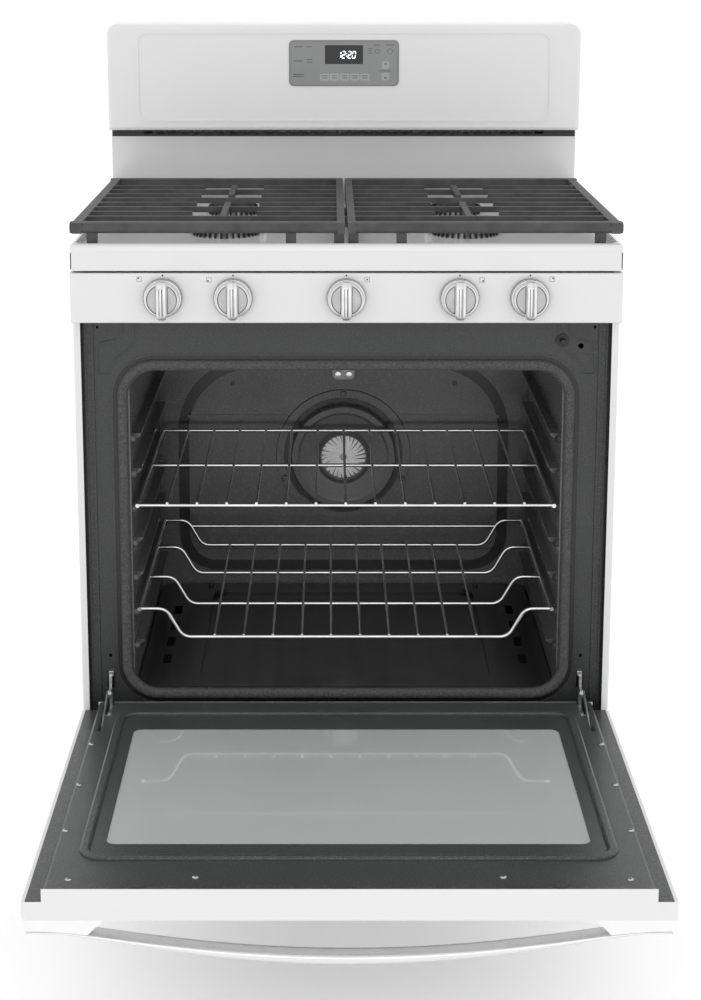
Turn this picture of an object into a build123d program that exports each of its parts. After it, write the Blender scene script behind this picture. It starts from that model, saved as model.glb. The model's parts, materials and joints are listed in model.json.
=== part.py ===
from build123d import *
import math
import os

# Freestanding gas range, in millimetres.  +X is the right side seen from the front, +Y the back, +Z up.
# While modelling, y = 0 is the control panel's front face and z = 0 is the floor.  The finished
# pieces are shifted in Y so that the origin is the middle of the footprint with the door open.

# ---------------------------------------------------------------- overall sizes
WIDTH = 759.0
HEIGHT = 1191.0
BACK_Y = 645.0
COOKTOP_Z = 914.0
SHEET = 1.0
TOUCH = 0.3

# ---------------------------------------------------------------- cabinet
FOOT_HEIGHT = 28.0
BASE_HEIGHT = 18.0
SIDE_FRONT_Y = 20.0
SIDE_FLANGE = 10.0
REAR_FLANGE = 20.0
FRAME_Y = 40.0
PANEL_HEIGHT = 70.0
TRIM_HEIGHT = 37.0
TRIM_GAP = 3.0
FOOT_STUD_RADIUS = 5.0
SWITCH_X = 303.0
SWITCH_Z = 772.0
SWITCH_RADIUS = 9.5
PLUNGER_RADIUS = 4.0
PLUNGER_OUT = 14.0

# ---------------------------------------------------------------- oven
OVEN_HALF_WIDTH = 305.0
OVEN_FLOOR_Z = 226.0
OVEN_CEILING_Z = 740.0
OVEN_DEPTH = 477.0
OPENING_HALF_WIDTH = 307.0
OPENING_LOW_Z = 258.0
OPENING_HIGH_Z = 729.0
OPENING_RADIUS = 38.0
LINER_FLANGE = 22.0
INSULATION = 20.0
GASKET_WIDTH = 15.0
GROOVE = 2.5
GROOVE_WIDTH = 18.0
GASKET_DEPTH = 6.7
RIDGE = 2.2
RIDGE_GAP = 5.5
RACK_SPACING = 51.5
RACK_LOWEST_Z = 325.0
RACK_POSITIONS = 7
BOTTOM_PANEL_Z = 258.0
FLOOR_SLOTS = 4
RIB_REACH = 12.0
RACK_RAIL_RADIUS = 3.0
RACK_HALF_WIDTH = 297.0
UPPER_WIRES = 13
LOWER_WIRES = 12
LAMP_X = 0.0
LENS_HALF = 19.5
LENS_DEPTH = 20.0
LAMP_CLEARING = 27.0
LAMP_Z = 633.0
PROBE_X = -118.0
PROBE_Z = 690.0

# ---------------------------------------------------------------- door
DOOR_TOP_Z = 800.0
DOOR_BOTTOM_Z = 219.0
DOOR_FACE_Y = -7.0
DOOR_SIDE_DEPTH = 23.0
DOOR_LINER_Y = 29.0
DOOR_BEAD = 4.0
LINER_HALF_WIDTH = 355.0
LINER_SIDE_FLANGE = 20.0
PIVOT_Y = 9.4
PIVOT_Z = 225.6
HINGE_X = 340.0
PIN_RADIUS = 3.0
RUNNING_FIT = 0.05
GLASS_HALF_WIDTH = 301.0
GLASS_LOW_Z = 313.0
GLASS_HIGH_Z = 683.0
GLASS = 4.0
WINDOW_HALF_WIDTH = 250.0
WINDOW_LOW_Z = 380.0
WINDOW_HIGH_Z = 640.0
HANDLE_REACH = 59.0
HANDLE_END_REACH = 18.7
HANDLE_HEIGHT = 25.0
HANDLE_HALF_WIDTH = 374.0
HANDLE_MIDDLE = 14.0
HANDLE_END = 4.6
ARM_LOW_Z = 262.0
NOSE_Y = 21.0
NOSE_Z = 256.0
ARM = 4.0
LINK = 2.4
LINK_LENGTH = 90.0
LINK_OPEN_ANGLE = 197.4
LINK_PIN_RADIUS = 2.5
LINK_SLOT_Z = 326.0

# ---------------------------------------------------------------- drawer
DRAWER_TOP_Z = 205.0
DRAWER_BOTTOM_Z = 45.0
DRAWER_BOX_HALF_WIDTH = 330.0
DRAWER_BOX_DEPTH = 540.0
DRAWER_BOX_LOW_Z = 62.0
DRAWER_BOX_HIGH_Z = 178.0

# ---------------------------------------------------------------- cooktop
KNOB_X = (-252.0, -155.5, 0.0, 155.5, 252.0)
KNOB_Z = 840.0
KNOB_RADIUS = 26.85
KNOB_DEPTH = 20.0
KNOB_GRIP = 10.0
KNOB_TRAVEL = 3.0
STEM_RADIUS = 4.0
KNOB_BACK_Y = -3.6
STEM_TIP_Y = KNOB_BACK_Y - KNOB_DEPTH + 6
VALVE_Y = 48.0
VALVE_DEPTH = 28.0
MANIFOLD = 20.0
REGULATOR_X = 356.0
REGULATOR_Y = 600.0
REGULATOR_Z = 150.0
INLET_RADIUS = 9.5
BURNER_X = 173.0
FRONT_BURNER_Y = 160.0
REAR_BURNER_Y = 384.0
CENTRE_BURNER_Y = 265.0
BURNER_RADIUS = 46.0
SMALL_BURNER_RADIUS = 36.0
PAN_Z = 905.0
GRATE_TOP_Z = 942.0
GRATE_HEIGHT = 15.0
GRATE_FRONT_Y = 8.0
GRATE_BACK_Y = 542.0
GRATE_GAP = 3.6
BAR_FIRST_Y = 80.0
BAR_SPACING = 51.0
BAR_COUNT = 8
BAR_WIDTH = 7.0
BAR_HEIGHT = 8.0
BAR_OPENING = 46.0
FINGER_WIDTH = 9.0

# ---------------------------------------------------------------- console
CONSOLE_Y = 517.0
CONSOLE_LOW_Z = 1022.0
BACKGUARD_Y = 565.0
VENT_HEIGHT = 14.0
OVERLAY_HALF_WIDTH = 88.0
OVERLAY_LOW_Z = 1093.0
OVERLAY_HIGH_Z = 1166.0
OVERLAY = 1.4
DISPLAY_HALF_WIDTH = 30.5
DISPLAY_LOW_Z = 1128.0
DISPLAY_HIGH_Z = 1158.0

# ---------------------------------------------------------------- fan
FAN_Z = 482.0
FAN_COVER_RADIUS = 112.0
FAN_COVER_DEPTH = 18.0
FAN_RING_INSET = 27.0
FAN_FLANGE = 13.5
FAN_SLOTS = 24
FAN_EYE_RADIUS = 37.0
FAN_RADIUS = 74.0
FAN_BLADES = 14
SHAFT_RADIUS = 4.0

# ---------------------------------------------------------------- worked-out places
HALF = WIDTH / 2
SIDE_INNER = HALF - SHEET
TRIM_LOW_Z = COOKTOP_Z - TRIM_HEIGHT
PANEL_HIGH_Z = TRIM_LOW_Z - TRIM_GAP
PANEL_LOW_Z = PANEL_HIGH_Z - PANEL_HEIGHT
LINER_FRONT_Y = FRAME_Y + SHEET
OVEN_BACK_Y = LINER_FRONT_Y + OVEN_DEPTH
BACK_PANEL_Y = BACK_Y - 2 * SHEET
DOOR_MIDDLE_Z = (GLASS_LOW_Z + GLASS_HIGH_Z) / 2
AROUND_HANDLE = (DOOR_TOP_Z - 60, DOOR_TOP_Z + 10)
DOOR_OPEN_Y = PIVOT_Y - (DOOR_TOP_Z - PIVOT_Z)
ORIGIN_Y = (DOOR_OPEN_Y + BACK_Y) / 2


# ---------------------------------------------------------------- helpers
def block(x0, x1, y0, y1, z0, z1):
    """Box between two corners."""
    middle = Pos((x0 + x1) / 2, (y0 + y1) / 2, (z0 + z1) / 2)
    return middle * Box(abs(x1 - x0), abs(y1 - y0), abs(z1 - z0))


def slab_xz(outline, y0, y1):
    """Outline drawn in X and Z, made solid from y0 to y1."""
    return Pos(0, y1, 0) * Rot(90, 0, 0) * extrude(outline, y1 - y0)


def slab_xy(outline, z0, z1):
    """Outline drawn in X and Y, made solid from z0 to z1."""
    return Pos(0, 0, z0) * extrude(outline, z1 - z0)


def slab_yz(outline, x0, x1):
    """Outline drawn in Y and Z, made solid from x0 to x1."""
    return Pos(x0, 0, 0) * extrude(Plane.YZ * outline, x1 - x0)


def oblong(x0, x1, z0, z1, radius):
    """Rounded rectangle in X and Z (or X and Y)."""
    return Pos((x0 + x1) / 2, (z0 + z1) / 2) * RectangleRounded(x1 - x0, z1 - z0, radius)


def rod_x(x0, x1, y, z, radius):
    return Pos((x0 + x1) / 2, y, z) * Rot(0, 90, 0) * Cylinder(radius, x1 - x0)


def rod_y(x, y0, y1, z, radius):
    return Pos(x, (y0 + y1) / 2, z) * Rot(90, 0, 0) * Cylinder(radius, y1 - y0)


def rod_z(x, y, z0, z1, radius):
    return Pos(x, y, (z0 + z1) / 2) * Cylinder(radius, z1 - z0)


def both_sides(shape):
    """The shape and its mirror image across the middle of the range."""
    return Part() + [shape, mirror(shape, Plane.YZ)]


def left_of(shape):
    return mirror(shape, Plane.YZ)


def opened(shape):
    """Turns a piece of the closed door down into the open position."""
    return Pos(0, PIVOT_Y, PIVOT_Z) * Rot(90, 0, 0) * Pos(0, -PIVOT_Y, -PIVOT_Z) * shape


def ring_xz(x1, z0, z1, radius, width, y0, y1):
    """Flat band of the given width that follows a rounded rectangle from inside its outer edge."""
    outer = oblong(-x1, x1, z0, z1, radius)
    inner = oblong(-x1 + width, x1 - width, z0 + width, z1 - width, max(radius - width, 1))
    return slab_xz(outer - inner, y0, y1)


# ---------------------------------------------------------------- cabinet
def side_panel():
    base_z = FOOT_HEIGHT
    skin = block(SIDE_INNER, HALF, SIDE_FRONT_Y, BACK_Y, base_z, TRIM_LOW_Z)
    front = block(HALF - SIDE_FLANGE, HALF, SIDE_FRONT_Y, SIDE_FRONT_Y + SHEET, base_z, TRIM_LOW_Z)
    rear = block(HALF - REAR_FLANGE, HALF, BACK_Y - SHEET, BACK_Y, base_z, TRIM_LOW_Z)
    bead_radius = 3
    bead = rod_z(HALF - bead_radius, SIDE_FRONT_Y + bead_radius, base_z, TRIM_LOW_Z, bead_radius)
    square = block(HALF - bead_radius, HALF, SIDE_FRONT_Y, SIDE_FRONT_Y + bead_radius, base_z, TRIM_LOW_Z)
    return skin + front + rear - (square - bead)


def back_panel():
    """Rear sheet with a louvred field, a row of screw holes and the gas inlet notch."""
    sheet = block(-SIDE_INNER, SIDE_INNER, BACK_PANEL_Y, BACK_PANEL_Y + SHEET, FOOT_HEIGHT, PAN_Z - 5)
    louvres = []
    for row in range(6):
        z = 640 + 26 * row
        for x in (-180, 0, 180):
            louvres.append(block(x - 60, x + 60, BACK_PANEL_Y - 1, BACK_PANEL_Y + SHEET + 1, z, z + 6))
    notch = block(150, 230, BACK_PANEL_Y - 1, BACK_PANEL_Y + SHEET + 1, FOOT_HEIGHT - 1, 130)
    return sheet - louvres - notch


def foot_places():
    x = SIDE_INNER - 40
    return [(sx * x, y) for sx in (-1, 1) for y in (SIDE_FRONT_Y + 55, BACK_Y - 60)]


def base_frame():
    """Bottom ring with its two drawer rails standing beside it."""
    z0 = FOOT_HEIGHT
    z1 = z0 + BASE_HEIGHT
    y0 = SIDE_FRONT_Y + SHEET
    y1 = BACK_PANEL_Y
    ring = block(-SIDE_INNER, SIDE_INNER, y0, y1, z0, z1)
    ring -= block(-SIDE_INNER + 75, SIDE_INNER - 75, y0 + 60, y1 - 75, z0 - 1, z1 + 1)
    ring -= block(-SIDE_INNER - 1, SIDE_INNER + 1, y0 + SHEET, y1 - SHEET, z0 + SHEET, z1 - SHEET)
    ring += [rod_z(x, y, z0, z1, 12) for x, y in foot_places()]
    ring -= [rod_z(x, y, z0 - 1, z1 + 1, FOOT_STUD_RADIUS + 0.2) for x, y in foot_places()]
    leaf_z = DRAWER_BOX_HIGH_Z - SHEET - 2
    ends = (FRAME_Y + 20, BACK_PANEL_Y - 65)
    leaf = block(DRAWER_BOX_HALF_WIDTH + 6, SIDE_INNER, *ends, leaf_z - SHEET, leaf_z)
    web = block(SIDE_INNER - SHEET, SIDE_INNER, *ends, leaf_z - 30, leaf_z)
    return Part() + [ring, both_sides(leaf + web)]


def levelling_feet():
    """Four screwed feet: pad, hexagon under the frame and stud through it."""
    feet = []
    for x, y in foot_places():
        pad = Pos(x, y, 4) * Cone(16, 14, 8)
        neck = rod_z(x, y, 8, FOOT_HEIGHT - 8, 6)
        hexagon = Pos(x, y, FOOT_HEIGHT - 8) * extrude(RegularPolygon(9, 6), 8)
        stud = rod_z(x, y, FOOT_HEIGHT, FOOT_HEIGHT + BASE_HEIGHT + 14, FOOT_STUD_RADIUS)
        feet.append(pad + neck + hexagon + stud)
    return Part() + feet


def front_frame():
    """Face of the oven: opening, side ribs, corner embosses, hinge slots and the door switch hole."""
    z0 = DRAWER_TOP_Z + 4
    plate = block(-SIDE_INNER, SIDE_INNER, FRAME_Y, FRAME_Y + SHEET, z0, PANEL_LOW_Z + 12)
    plate -= slab_xz(oven_opening(), FRAME_Y - 1, FRAME_Y + SHEET + 1)
    rib_x0 = LINER_HALF_WIDTH - 1
    rib = slab_xz(oblong(rib_x0, rib_x0 + 13, z0 + 6, PANEL_LOW_Z - 4, 6), FRAME_Y - 3, FRAME_Y)
    rib -= slab_xz(oblong(rib_x0 + 3, rib_x0 + 10, z0 + 9, PANEL_LOW_Z - 7, 3), FRAME_Y - 4, FRAME_Y - 1)
    frame = plate + both_sides(rib) + both_sides(corner_pressing()) + gasket_ridge()
    holes = [rod_y(SWITCH_X, FRAME_Y - 5, FRAME_Y + 5, SWITCH_Z, SWITCH_RADIUS + 0.3)]
    holes.append(rod_y(329, FRAME_Y - 5, FRAME_Y + 5, 764, 4))
    for side in (-1, 1):
        x = side * HINGE_X
        holes.append(block(x - 5, x + 5, FRAME_Y - 5, FRAME_Y + 5, ARM_LOW_Z - 4, ARM_LOW_Z + 20))
        holes.append(rod_y(x, FRAME_Y - 5, FRAME_Y + 5, ARM_LOW_Z + 45, 2.5))
        holes.append(rod_y(side * 348, FRAME_Y - 5, FRAME_Y + 5, PANEL_LOW_Z - 13, 2))
    return frame - holes


def corner_pressing():
    """Raised rim of the pressing that sweeps from the top of the frame round the gasket's corner."""
    path = FilletPolyline((296, 815), (296, 768), (304, 757), (324, 743), (331, 729), (332, 722), (350, 722),
                          (350, 763), (341, 770), (322, 774), (315, 784), (313, 815), radius=4, close=True)
    face = make_face(path)
    rim = face - offset(face, -2.5)
    return slab_xz(rim, FRAME_Y - 1.6, FRAME_Y + 0.2)


def gasket_ridge():
    """Raised line that runs round the gasket, a small gap away from it."""
    out = GASKET_WIDTH + 1 + RIDGE_GAP + RIDGE
    return ring_xz(OPENING_HALF_WIDTH + out, OPENING_LOW_Z - out, OPENING_HIGH_Z + out,
                   OPENING_RADIUS + out, RIDGE, FRAME_Y - 1.4, FRAME_Y + 0.2)


def oven_opening():
    return oblong(-OPENING_HALF_WIDTH, OPENING_HALF_WIDTH, OPENING_LOW_Z, OPENING_HIGH_Z, OPENING_RADIUS)


def oven_liner():
    """Enamelled box, open at the front, with rack ribs and the embossed back wall."""
    w = OVEN_HALF_WIDTH
    outer = block(-w - SHEET, w + SHEET, LINER_FRONT_Y, OVEN_BACK_Y + SHEET,
                  OVEN_FLOOR_Z - SHEET, OVEN_CEILING_Z + SHEET)
    inner = block(-w, w, LINER_FRONT_Y - 1, OVEN_BACK_Y, OVEN_FLOOR_Z, OVEN_CEILING_Z)
    inner = fillet(inner.edges().filter_by(Axis.Y), 22)
    outer = fillet(outer.edges().filter_by(Axis.Y), 22 + SHEET)
    flange = block(-w - LINER_FLANGE, w + LINER_FLANGE, LINER_FRONT_Y, LINER_FRONT_Y + SHEET,
                   OVEN_FLOOR_Z - SHEET, OVEN_CEILING_Z + LINER_FLANGE)
    box = outer + flange - inner
    box += rack_ribs()
    wall = OVEN_BACK_Y + SHEET
    box += groove_band(SHEET, wall - 0.2, wall + GROOVE)
    box -= groove_band(0, OVEN_BACK_Y - 1, OVEN_BACK_Y + GROOVE)
    box += crease(OVEN_BACK_Y - 1.5, OVEN_BACK_Y + 0.2)
    box -= [rod_y(side * 184, OVEN_BACK_Y - 1, wall + 1, 604, 2.5) for side in (-1, 1)]
    box -= rod_y(0, OVEN_BACK_Y - 1, OVEN_BACK_Y + 3, FAN_Z, SHAFT_RADIUS + 6)
    box -= rod_y(LAMP_X, OVEN_BACK_Y - 8, OVEN_BACK_Y + GROOVE + 3, LAMP_Z, 15)
    box -= rod_y(PROBE_X, OVEN_BACK_Y - 8, OVEN_BACK_Y + GROOVE + 3, PROBE_Z, 4)
    return box


def rack_ribs():
    """Ledges on both side walls that carry a rack, each with a stop bump at its front end."""
    ribs = []
    x0 = OVEN_HALF_WIDTH - RIB_REACH
    for level in range(RACK_POSITIONS):
        top = RACK_LOWEST_Z + RACK_SPACING * level - RACK_RAIL_RADIUS - TOUCH
        shape = Polyline((x0, top - 3), (x0, top), (OVEN_HALF_WIDTH + 0.5, top),
                         (OVEN_HALF_WIDTH + 0.5, top - 12), close=True)
        rib = slab_xz(make_face(shape), LINER_FRONT_Y + 28, OVEN_BACK_Y - 25)
        bump = Pos(OVEN_HALF_WIDTH - 1, LINER_FRONT_Y + 16, top - 5) * Sphere(6)
        bump &= block(0, OVEN_HALF_WIDTH + 0.5, LINER_FRONT_Y, OVEN_BACK_Y, top - 12, top + 2)
        ribs.append(both_sides(rib))
        ribs.append(both_sides(bump))
    return ribs


def arched(x, z0, z1, low_radius, high_radius):
    """Rectangle about the middle with one radius on its lower corners and another on the upper."""
    spare = 2 * high_radius
    return oblong(-x, x, z0, z1 + spare, low_radius) & oblong(-x, x, z0 - spare, z1, high_radius)


def groove_band(margin, y0, y1):
    """Rounded band that runs round the back wall, widened by a margin on both edges."""
    m = margin
    inset = GROOVE_WIDTH
    band = arched(275 + m, 281 - m, 647 + m, 63 + m, 124 + m)
    band -= arched(275 - inset - m, 281 + inset + m, 647 - inset - m, 63 - inset - m, 124 - inset - m)
    band -= Pos(LAMP_X, LAMP_Z) * Circle(LAMP_CLEARING - m)
    return slab_xz(band, y0, y1)


def crease(y0, y1):
    """Shallow fold across the back wall, broken by the fan cover."""
    outline = Pos(0, 548) * Rectangle(516, 5)
    outline -= Pos(0, FAN_Z) * Circle(FAN_COVER_RADIUS + 2)
    return slab_xz(outline, y0, y1)


def oven_insulation():
    """Glass-wool blanket over the top, sides and back of the oven box."""
    w = OVEN_HALF_WIDTH + SHEET
    y0 = LINER_FRONT_Y + SHEET + 1
    back = OVEN_BACK_Y + SHEET + GROOVE
    outer = block(-w - INSULATION, w + INSULATION, y0, back + INSULATION, OVEN_FLOOR_Z - SHEET,
                  OVEN_CEILING_Z + SHEET + INSULATION)
    inner = block(-w, w, y0 - 1, back, OVEN_FLOOR_Z - 5, OVEN_CEILING_Z + SHEET)
    blanket = outer - inner
    blanket -= rod_y(0, back - 1, back + INSULATION + 1, FAN_Z, 40)
    blanket -= rod_y(LAMP_X, back - 1, back + INSULATION + 1, LAMP_Z, 24)
    blanket -= rod_y(PROBE_X, back - 1, back + INSULATION + 1, PROBE_Z, 10)
    return blanket


def oven_gasket():
    margin = GASKET_WIDTH + 1
    outer = oblong(-OPENING_HALF_WIDTH - margin, OPENING_HALF_WIDTH + margin,
                   OPENING_LOW_Z - margin, OPENING_HIGH_Z + margin, OPENING_RADIUS + margin)
    inner = oblong(-OPENING_HALF_WIDTH - 1, OPENING_HALF_WIDTH + 1,
                   OPENING_LOW_Z - 1, OPENING_HIGH_Z + 1, OPENING_RADIUS + 1)
    band = slab_xz(outer - inner, FRAME_Y - GASKET_DEPTH, FRAME_Y)
    front = band.faces().sort_by(Axis.Y)[0]
    return fillet(front.edges(), 3)


def oven_bottom_panel():
    """Removable floor: dished middle, side shelves with slots and a front lip."""
    w = OVEN_HALF_WIDTH - 2
    y0 = LINER_FRONT_Y + 3
    y1 = OVEN_BACK_Y - 4
    panel = block(-w, w, y0, y1, BOTTOM_PANEL_Z - 10, BOTTOM_PANEL_Z)
    panel = fillet(panel.edges().filter_by(Axis.Z), 15)
    dish = slab_xy(oblong(-215, 215, y0 + 26, y1 - 26, 28), BOTTOM_PANEL_Z - 6, BOTTOM_PANEL_Z + 1)
    under = slab_xy(oblong(-213, 213, y0 + 28, y1 - 28, 26), BOTTOM_PANEL_Z - 11, BOTTOM_PANEL_Z - 7.5)
    panel -= dish
    panel -= under
    for side in (-1, 1):
        low = min(side * 232, side * (w - 8))
        high = max(side * 232, side * (w - 8))
        panel -= slab_xy(oblong(low, high, y0 + 12, y1 - 12, 12), BOTTOM_PANEL_Z - 11, BOTTOM_PANEL_Z - SHEET)
    slots = []
    for side in (-1, 1):
        x = side * 268
        for row in range(FLOOR_SLOTS):
            y = 139 + row * 74
            slots.append(block(x - 6, x + 6, y, y + 42, BOTTOM_PANEL_Z - 12, BOTTOM_PANEL_Z + 1))
    studs = [rod_z(side * 222, y1 - 12, BOTTOM_PANEL_Z - 1, BOTTOM_PANEL_Z + 3, 4) for side in (-1, 1)]
    return panel - slots + studs


def oven_burners():
    """Bake burner under the floor panel and broil burner under the ceiling, each a closed tube."""
    bake = rod_y(0, LINER_FRONT_Y + 60, OVEN_BACK_Y, 236, 9)
    broil = rod_y(0, LINER_FRONT_Y + 60, OVEN_BACK_Y, OVEN_CEILING_Z - 16, 9)
    shield = block(-120, 120, LINER_FRONT_Y + 60, OVEN_BACK_Y - 60, OVEN_CEILING_Z - 4, OVEN_CEILING_Z - 2.5)
    stay = block(-6, 6, LINER_FRONT_Y + 80, OVEN_BACK_Y - 80, OVEN_CEILING_Z - 10, OVEN_CEILING_Z)
    ports = []
    for row in range(16):
        y = LINER_FRONT_Y + 80 + row * 22
        ports.append(rod_x(-20, 20, y, 236, 1.2))
        ports.append(rod_x(-20, 20, y, OVEN_CEILING_Z - 16, 1.2))
    return Part() + [bake - ports[0::2], broil + shield + stay - ports[1::2]]


def oven_lamp_holder():
    """Porcelain socket and bulb behind the back wall."""
    socket = rod_y(LAMP_X, OVEN_BACK_Y + SHEET, OVEN_BACK_Y + 34, LAMP_Z, 19)
    bulb = rod_y(LAMP_X, OVEN_BACK_Y - 6, OVEN_BACK_Y + SHEET, LAMP_Z, 9)
    return socket + bulb


def oven_lamp_lens():
    """Rounded glass box over the lamp, open at the back."""
    y0 = OVEN_BACK_Y - LENS_DEPTH
    wall = 2.5
    outer = slab_xz(oblong(LAMP_X - LENS_HALF, LAMP_X + LENS_HALF, LAMP_Z - LENS_HALF, LAMP_Z + LENS_HALF, 8),
                    y0, OVEN_BACK_Y)
    outer = fillet(outer.faces().sort_by(Axis.Y)[0].edges(), 4)
    hole = LENS_HALF - wall
    hollow = slab_xz(oblong(LAMP_X - hole, LAMP_X + hole, LAMP_Z - hole, LAMP_Z + hole, 6),
                     y0 + wall, OVEN_BACK_Y + 1)
    return outer - hollow


def temperature_probe():
    rod = rod_y(PROBE_X, OVEN_BACK_Y - 110, OVEN_BACK_Y, PROBE_Z, 3)
    plate = block(PROBE_X - 16, PROBE_X + 16, OVEN_BACK_Y - SHEET, OVEN_BACK_Y, PROBE_Z - 9, PROBE_Z + 9)
    stub = rod_y(PROBE_X, OVEN_BACK_Y, OVEN_BACK_Y + 30, PROBE_Z, 3)
    return rod + plate + stub


# ---------------------------------------------------------------- convection fan
def fan_cover():
    """Pressed round cover: flange on the wall, raised ring, dished middle and a central eye."""
    top = FAN_COVER_DEPTH
    eye = FAN_EYE_RADIUS
    dish = eye + 9
    rim = FAN_COVER_RADIUS
    ring = rim - FAN_RING_INSET
    flange = rim - FAN_FLANGE
    front = [(eye, top), (eye + 2, top), (dish, top - 3.8), (ring - 13, top - 1.5), (ring - 9, top), (ring, top),
             (ring + 2.5, top - 3), (ring + 3.5, 1.2), (flange - 1.5, 1.2), (flange, 3), (rim - 1, 3), (rim, 0)]
    back = [(ring + 2, 0), (ring + 1, top - 4), (ring - 1, top - SHEET), (ring - 8, top - SHEET),
            (ring - 12, top - 2.5), (dish, top - 4.8), (eye, top - 3)]
    points = [(radius, OVEN_BACK_Y - depth) for radius, depth in front + back]
    section = make_face(Polyline(*points, close=True))
    cover = Pos(0, 0, FAN_Z) * revolve(section, Axis.Y)
    gaps = []
    for turn in range(FAN_SLOTS):
        slot = block(-4, 4, OVEN_BACK_Y - 12, OVEN_BACK_Y - 4, ring - 1, ring + 6)
        gaps.append(Pos(0, 0, FAN_Z) * Rot(0, 360 / FAN_SLOTS * turn, 0) * slot)
    screws = []
    screw_radius = rim - FAN_FLANGE / 2 - 0.25
    for angle in (0, 112, 248):
        x = screw_radius * math.sin(math.radians(angle))
        z = FAN_Z + screw_radius * math.cos(math.radians(angle))
        screws.append(rod_y(x, OVEN_BACK_Y - 5.5, OVEN_BACK_Y - 1, z, 3.6))
    return cover - gaps + screws


def fan_wheel():
    """Radial blades on a disc, with the nut on the end of the shaft."""
    y1 = OVEN_BACK_Y - 2.5
    disc = rod_y(0, y1 - SHEET, y1, FAN_Z, FAN_RADIUS)
    wheel = disc
    for turn in range(FAN_BLADES):
        blade = block(-0.8, 0.8, y1 - 9, y1 - SHEET, 14, FAN_RADIUS - 2)
        wheel += Pos(0, 0, FAN_Z) * Rot(0, 360 / FAN_BLADES * turn, 0) * blade
    hub = rod_y(0, y1 - 10, y1, FAN_Z, 10)
    nut = Pos(0, y1 - 10, FAN_Z) * Rot(90, 0, 0) * extrude(RegularPolygon(7, 6), 4)
    bore = rod_y(0, y1 - 6, y1 + 1, FAN_Z, SHAFT_RADIUS + RUNNING_FIT)
    return wheel + hub + nut - bore


def fan_motor():
    """Motor behind the insulation, on a bracket, with its shaft through the back wall."""
    face = OVEN_BACK_Y + SHEET + 8
    can = rod_y(0, face, face + 58, FAN_Z, 34)
    bracket = block(-70, 70, face + 20, face + 22, FAN_Z - 12, FAN_Z + 12)
    shaft = rod_y(0, OVEN_BACK_Y - 8, face, FAN_Z, SHAFT_RADIUS)
    legs = both_sides(block(68, 70, face + 20, BACK_PANEL_Y, FAN_Z - 12, FAN_Z + 12))
    return can + bracket + shaft + legs


# ---------------------------------------------------------------- cooktop
def burner_places():
    """Middle and radius of each burner."""
    places = []
    for side in (-1, 1):
        places.append((side * BURNER_X, FRONT_BURNER_Y, BURNER_RADIUS))
        places.append((side * BURNER_X, REAR_BURNER_Y, SMALL_BURNER_RADIUS))
    places.append((0, CENTRE_BURNER_Y, SMALL_BURNER_RADIUS - 4))
    return places


def cooktop():
    """Enamelled top with a rolled front, sunk pan, hollow underside and a hole for each burner."""
    top = block(-HALF, HALF, 0, BACKGUARD_Y, TRIM_LOW_Z, COOKTOP_Z)
    top = fillet(top.edges().filter_by(Axis.X).group_by(Axis.Y)[0].group_by(Axis.Z)[-1], 9)
    top = fillet(top.edges().filter_by(Axis.Y).group_by(Axis.Z)[-1], 6)
    pan = slab_xy(oblong(-HALF + 7, HALF - 7, 9, BACKGUARD_Y - 6, 16), PAN_Z, COOKTOP_Z + 1)
    under = block(-HALF + SHEET, HALF - SHEET, SHEET, BACKGUARD_Y - SHEET, TRIM_LOW_Z - 1, PAN_Z - 3)
    holes = [rod_z(x, y, TRIM_LOW_Z, COOKTOP_Z, radius - 8) for x, y, radius in burner_places()]
    return top - pan - under - holes


def burner_heads():
    """Cast heads: throat through the cooktop, skirt on it and a slotted port ring."""
    heads = []
    for x, y, radius in burner_places():
        throat = rod_z(x, y, PAN_Z - 22, PAN_Z, radius - 9)
        skirt = Pos(x, y, PAN_Z + 3) * Cone(radius + 2, radius - 3, 6)
        ring = rod_z(x, y, PAN_Z + 6, PAN_Z + 16, radius - 6)
        head = throat + skirt + ring
        slots = []
        count = 32
        for turn in range(count):
            slot = block(radius - 11, radius - 2, -1, 1, PAN_Z + 8, PAN_Z + 17)
            slots.append(Pos(x, y, 0) * Rot(0, 0, 360 / count * turn) * slot)
        well = rod_z(x, y, PAN_Z - 10, PAN_Z + 17, radius - 16)
        heads.append(head - slots - well)
    return Part() + heads


def burner_caps():
    caps = []
    for x, y, radius in burner_places():
        cap = rod_z(x, y, PAN_Z + 16, PAN_Z + 21, radius - 4)
        cap = fillet(cap.edges().group_by(Axis.Z)[-1], 3)
        peg = rod_z(x, y, PAN_Z + 10, PAN_Z + 16, radius - 18)
        caps.append(cap + peg)
    return Part() + caps


def spark_electrodes():
    """White ceramic sleeve with its wire tip beside each burner."""
    pins = []
    for x, y, radius in burner_places():
        inward = 1 if x <= 0 else -1
        px = x + inward * (radius + 9)
        sleeve = rod_z(px, y, PAN_Z, PAN_Z + 11, 3.5)
        tip = rod_z(px, y, PAN_Z + 11, PAN_Z + 14, 1.2)
        pins.append(sleeve + tip)
    return Part() + pins


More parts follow.
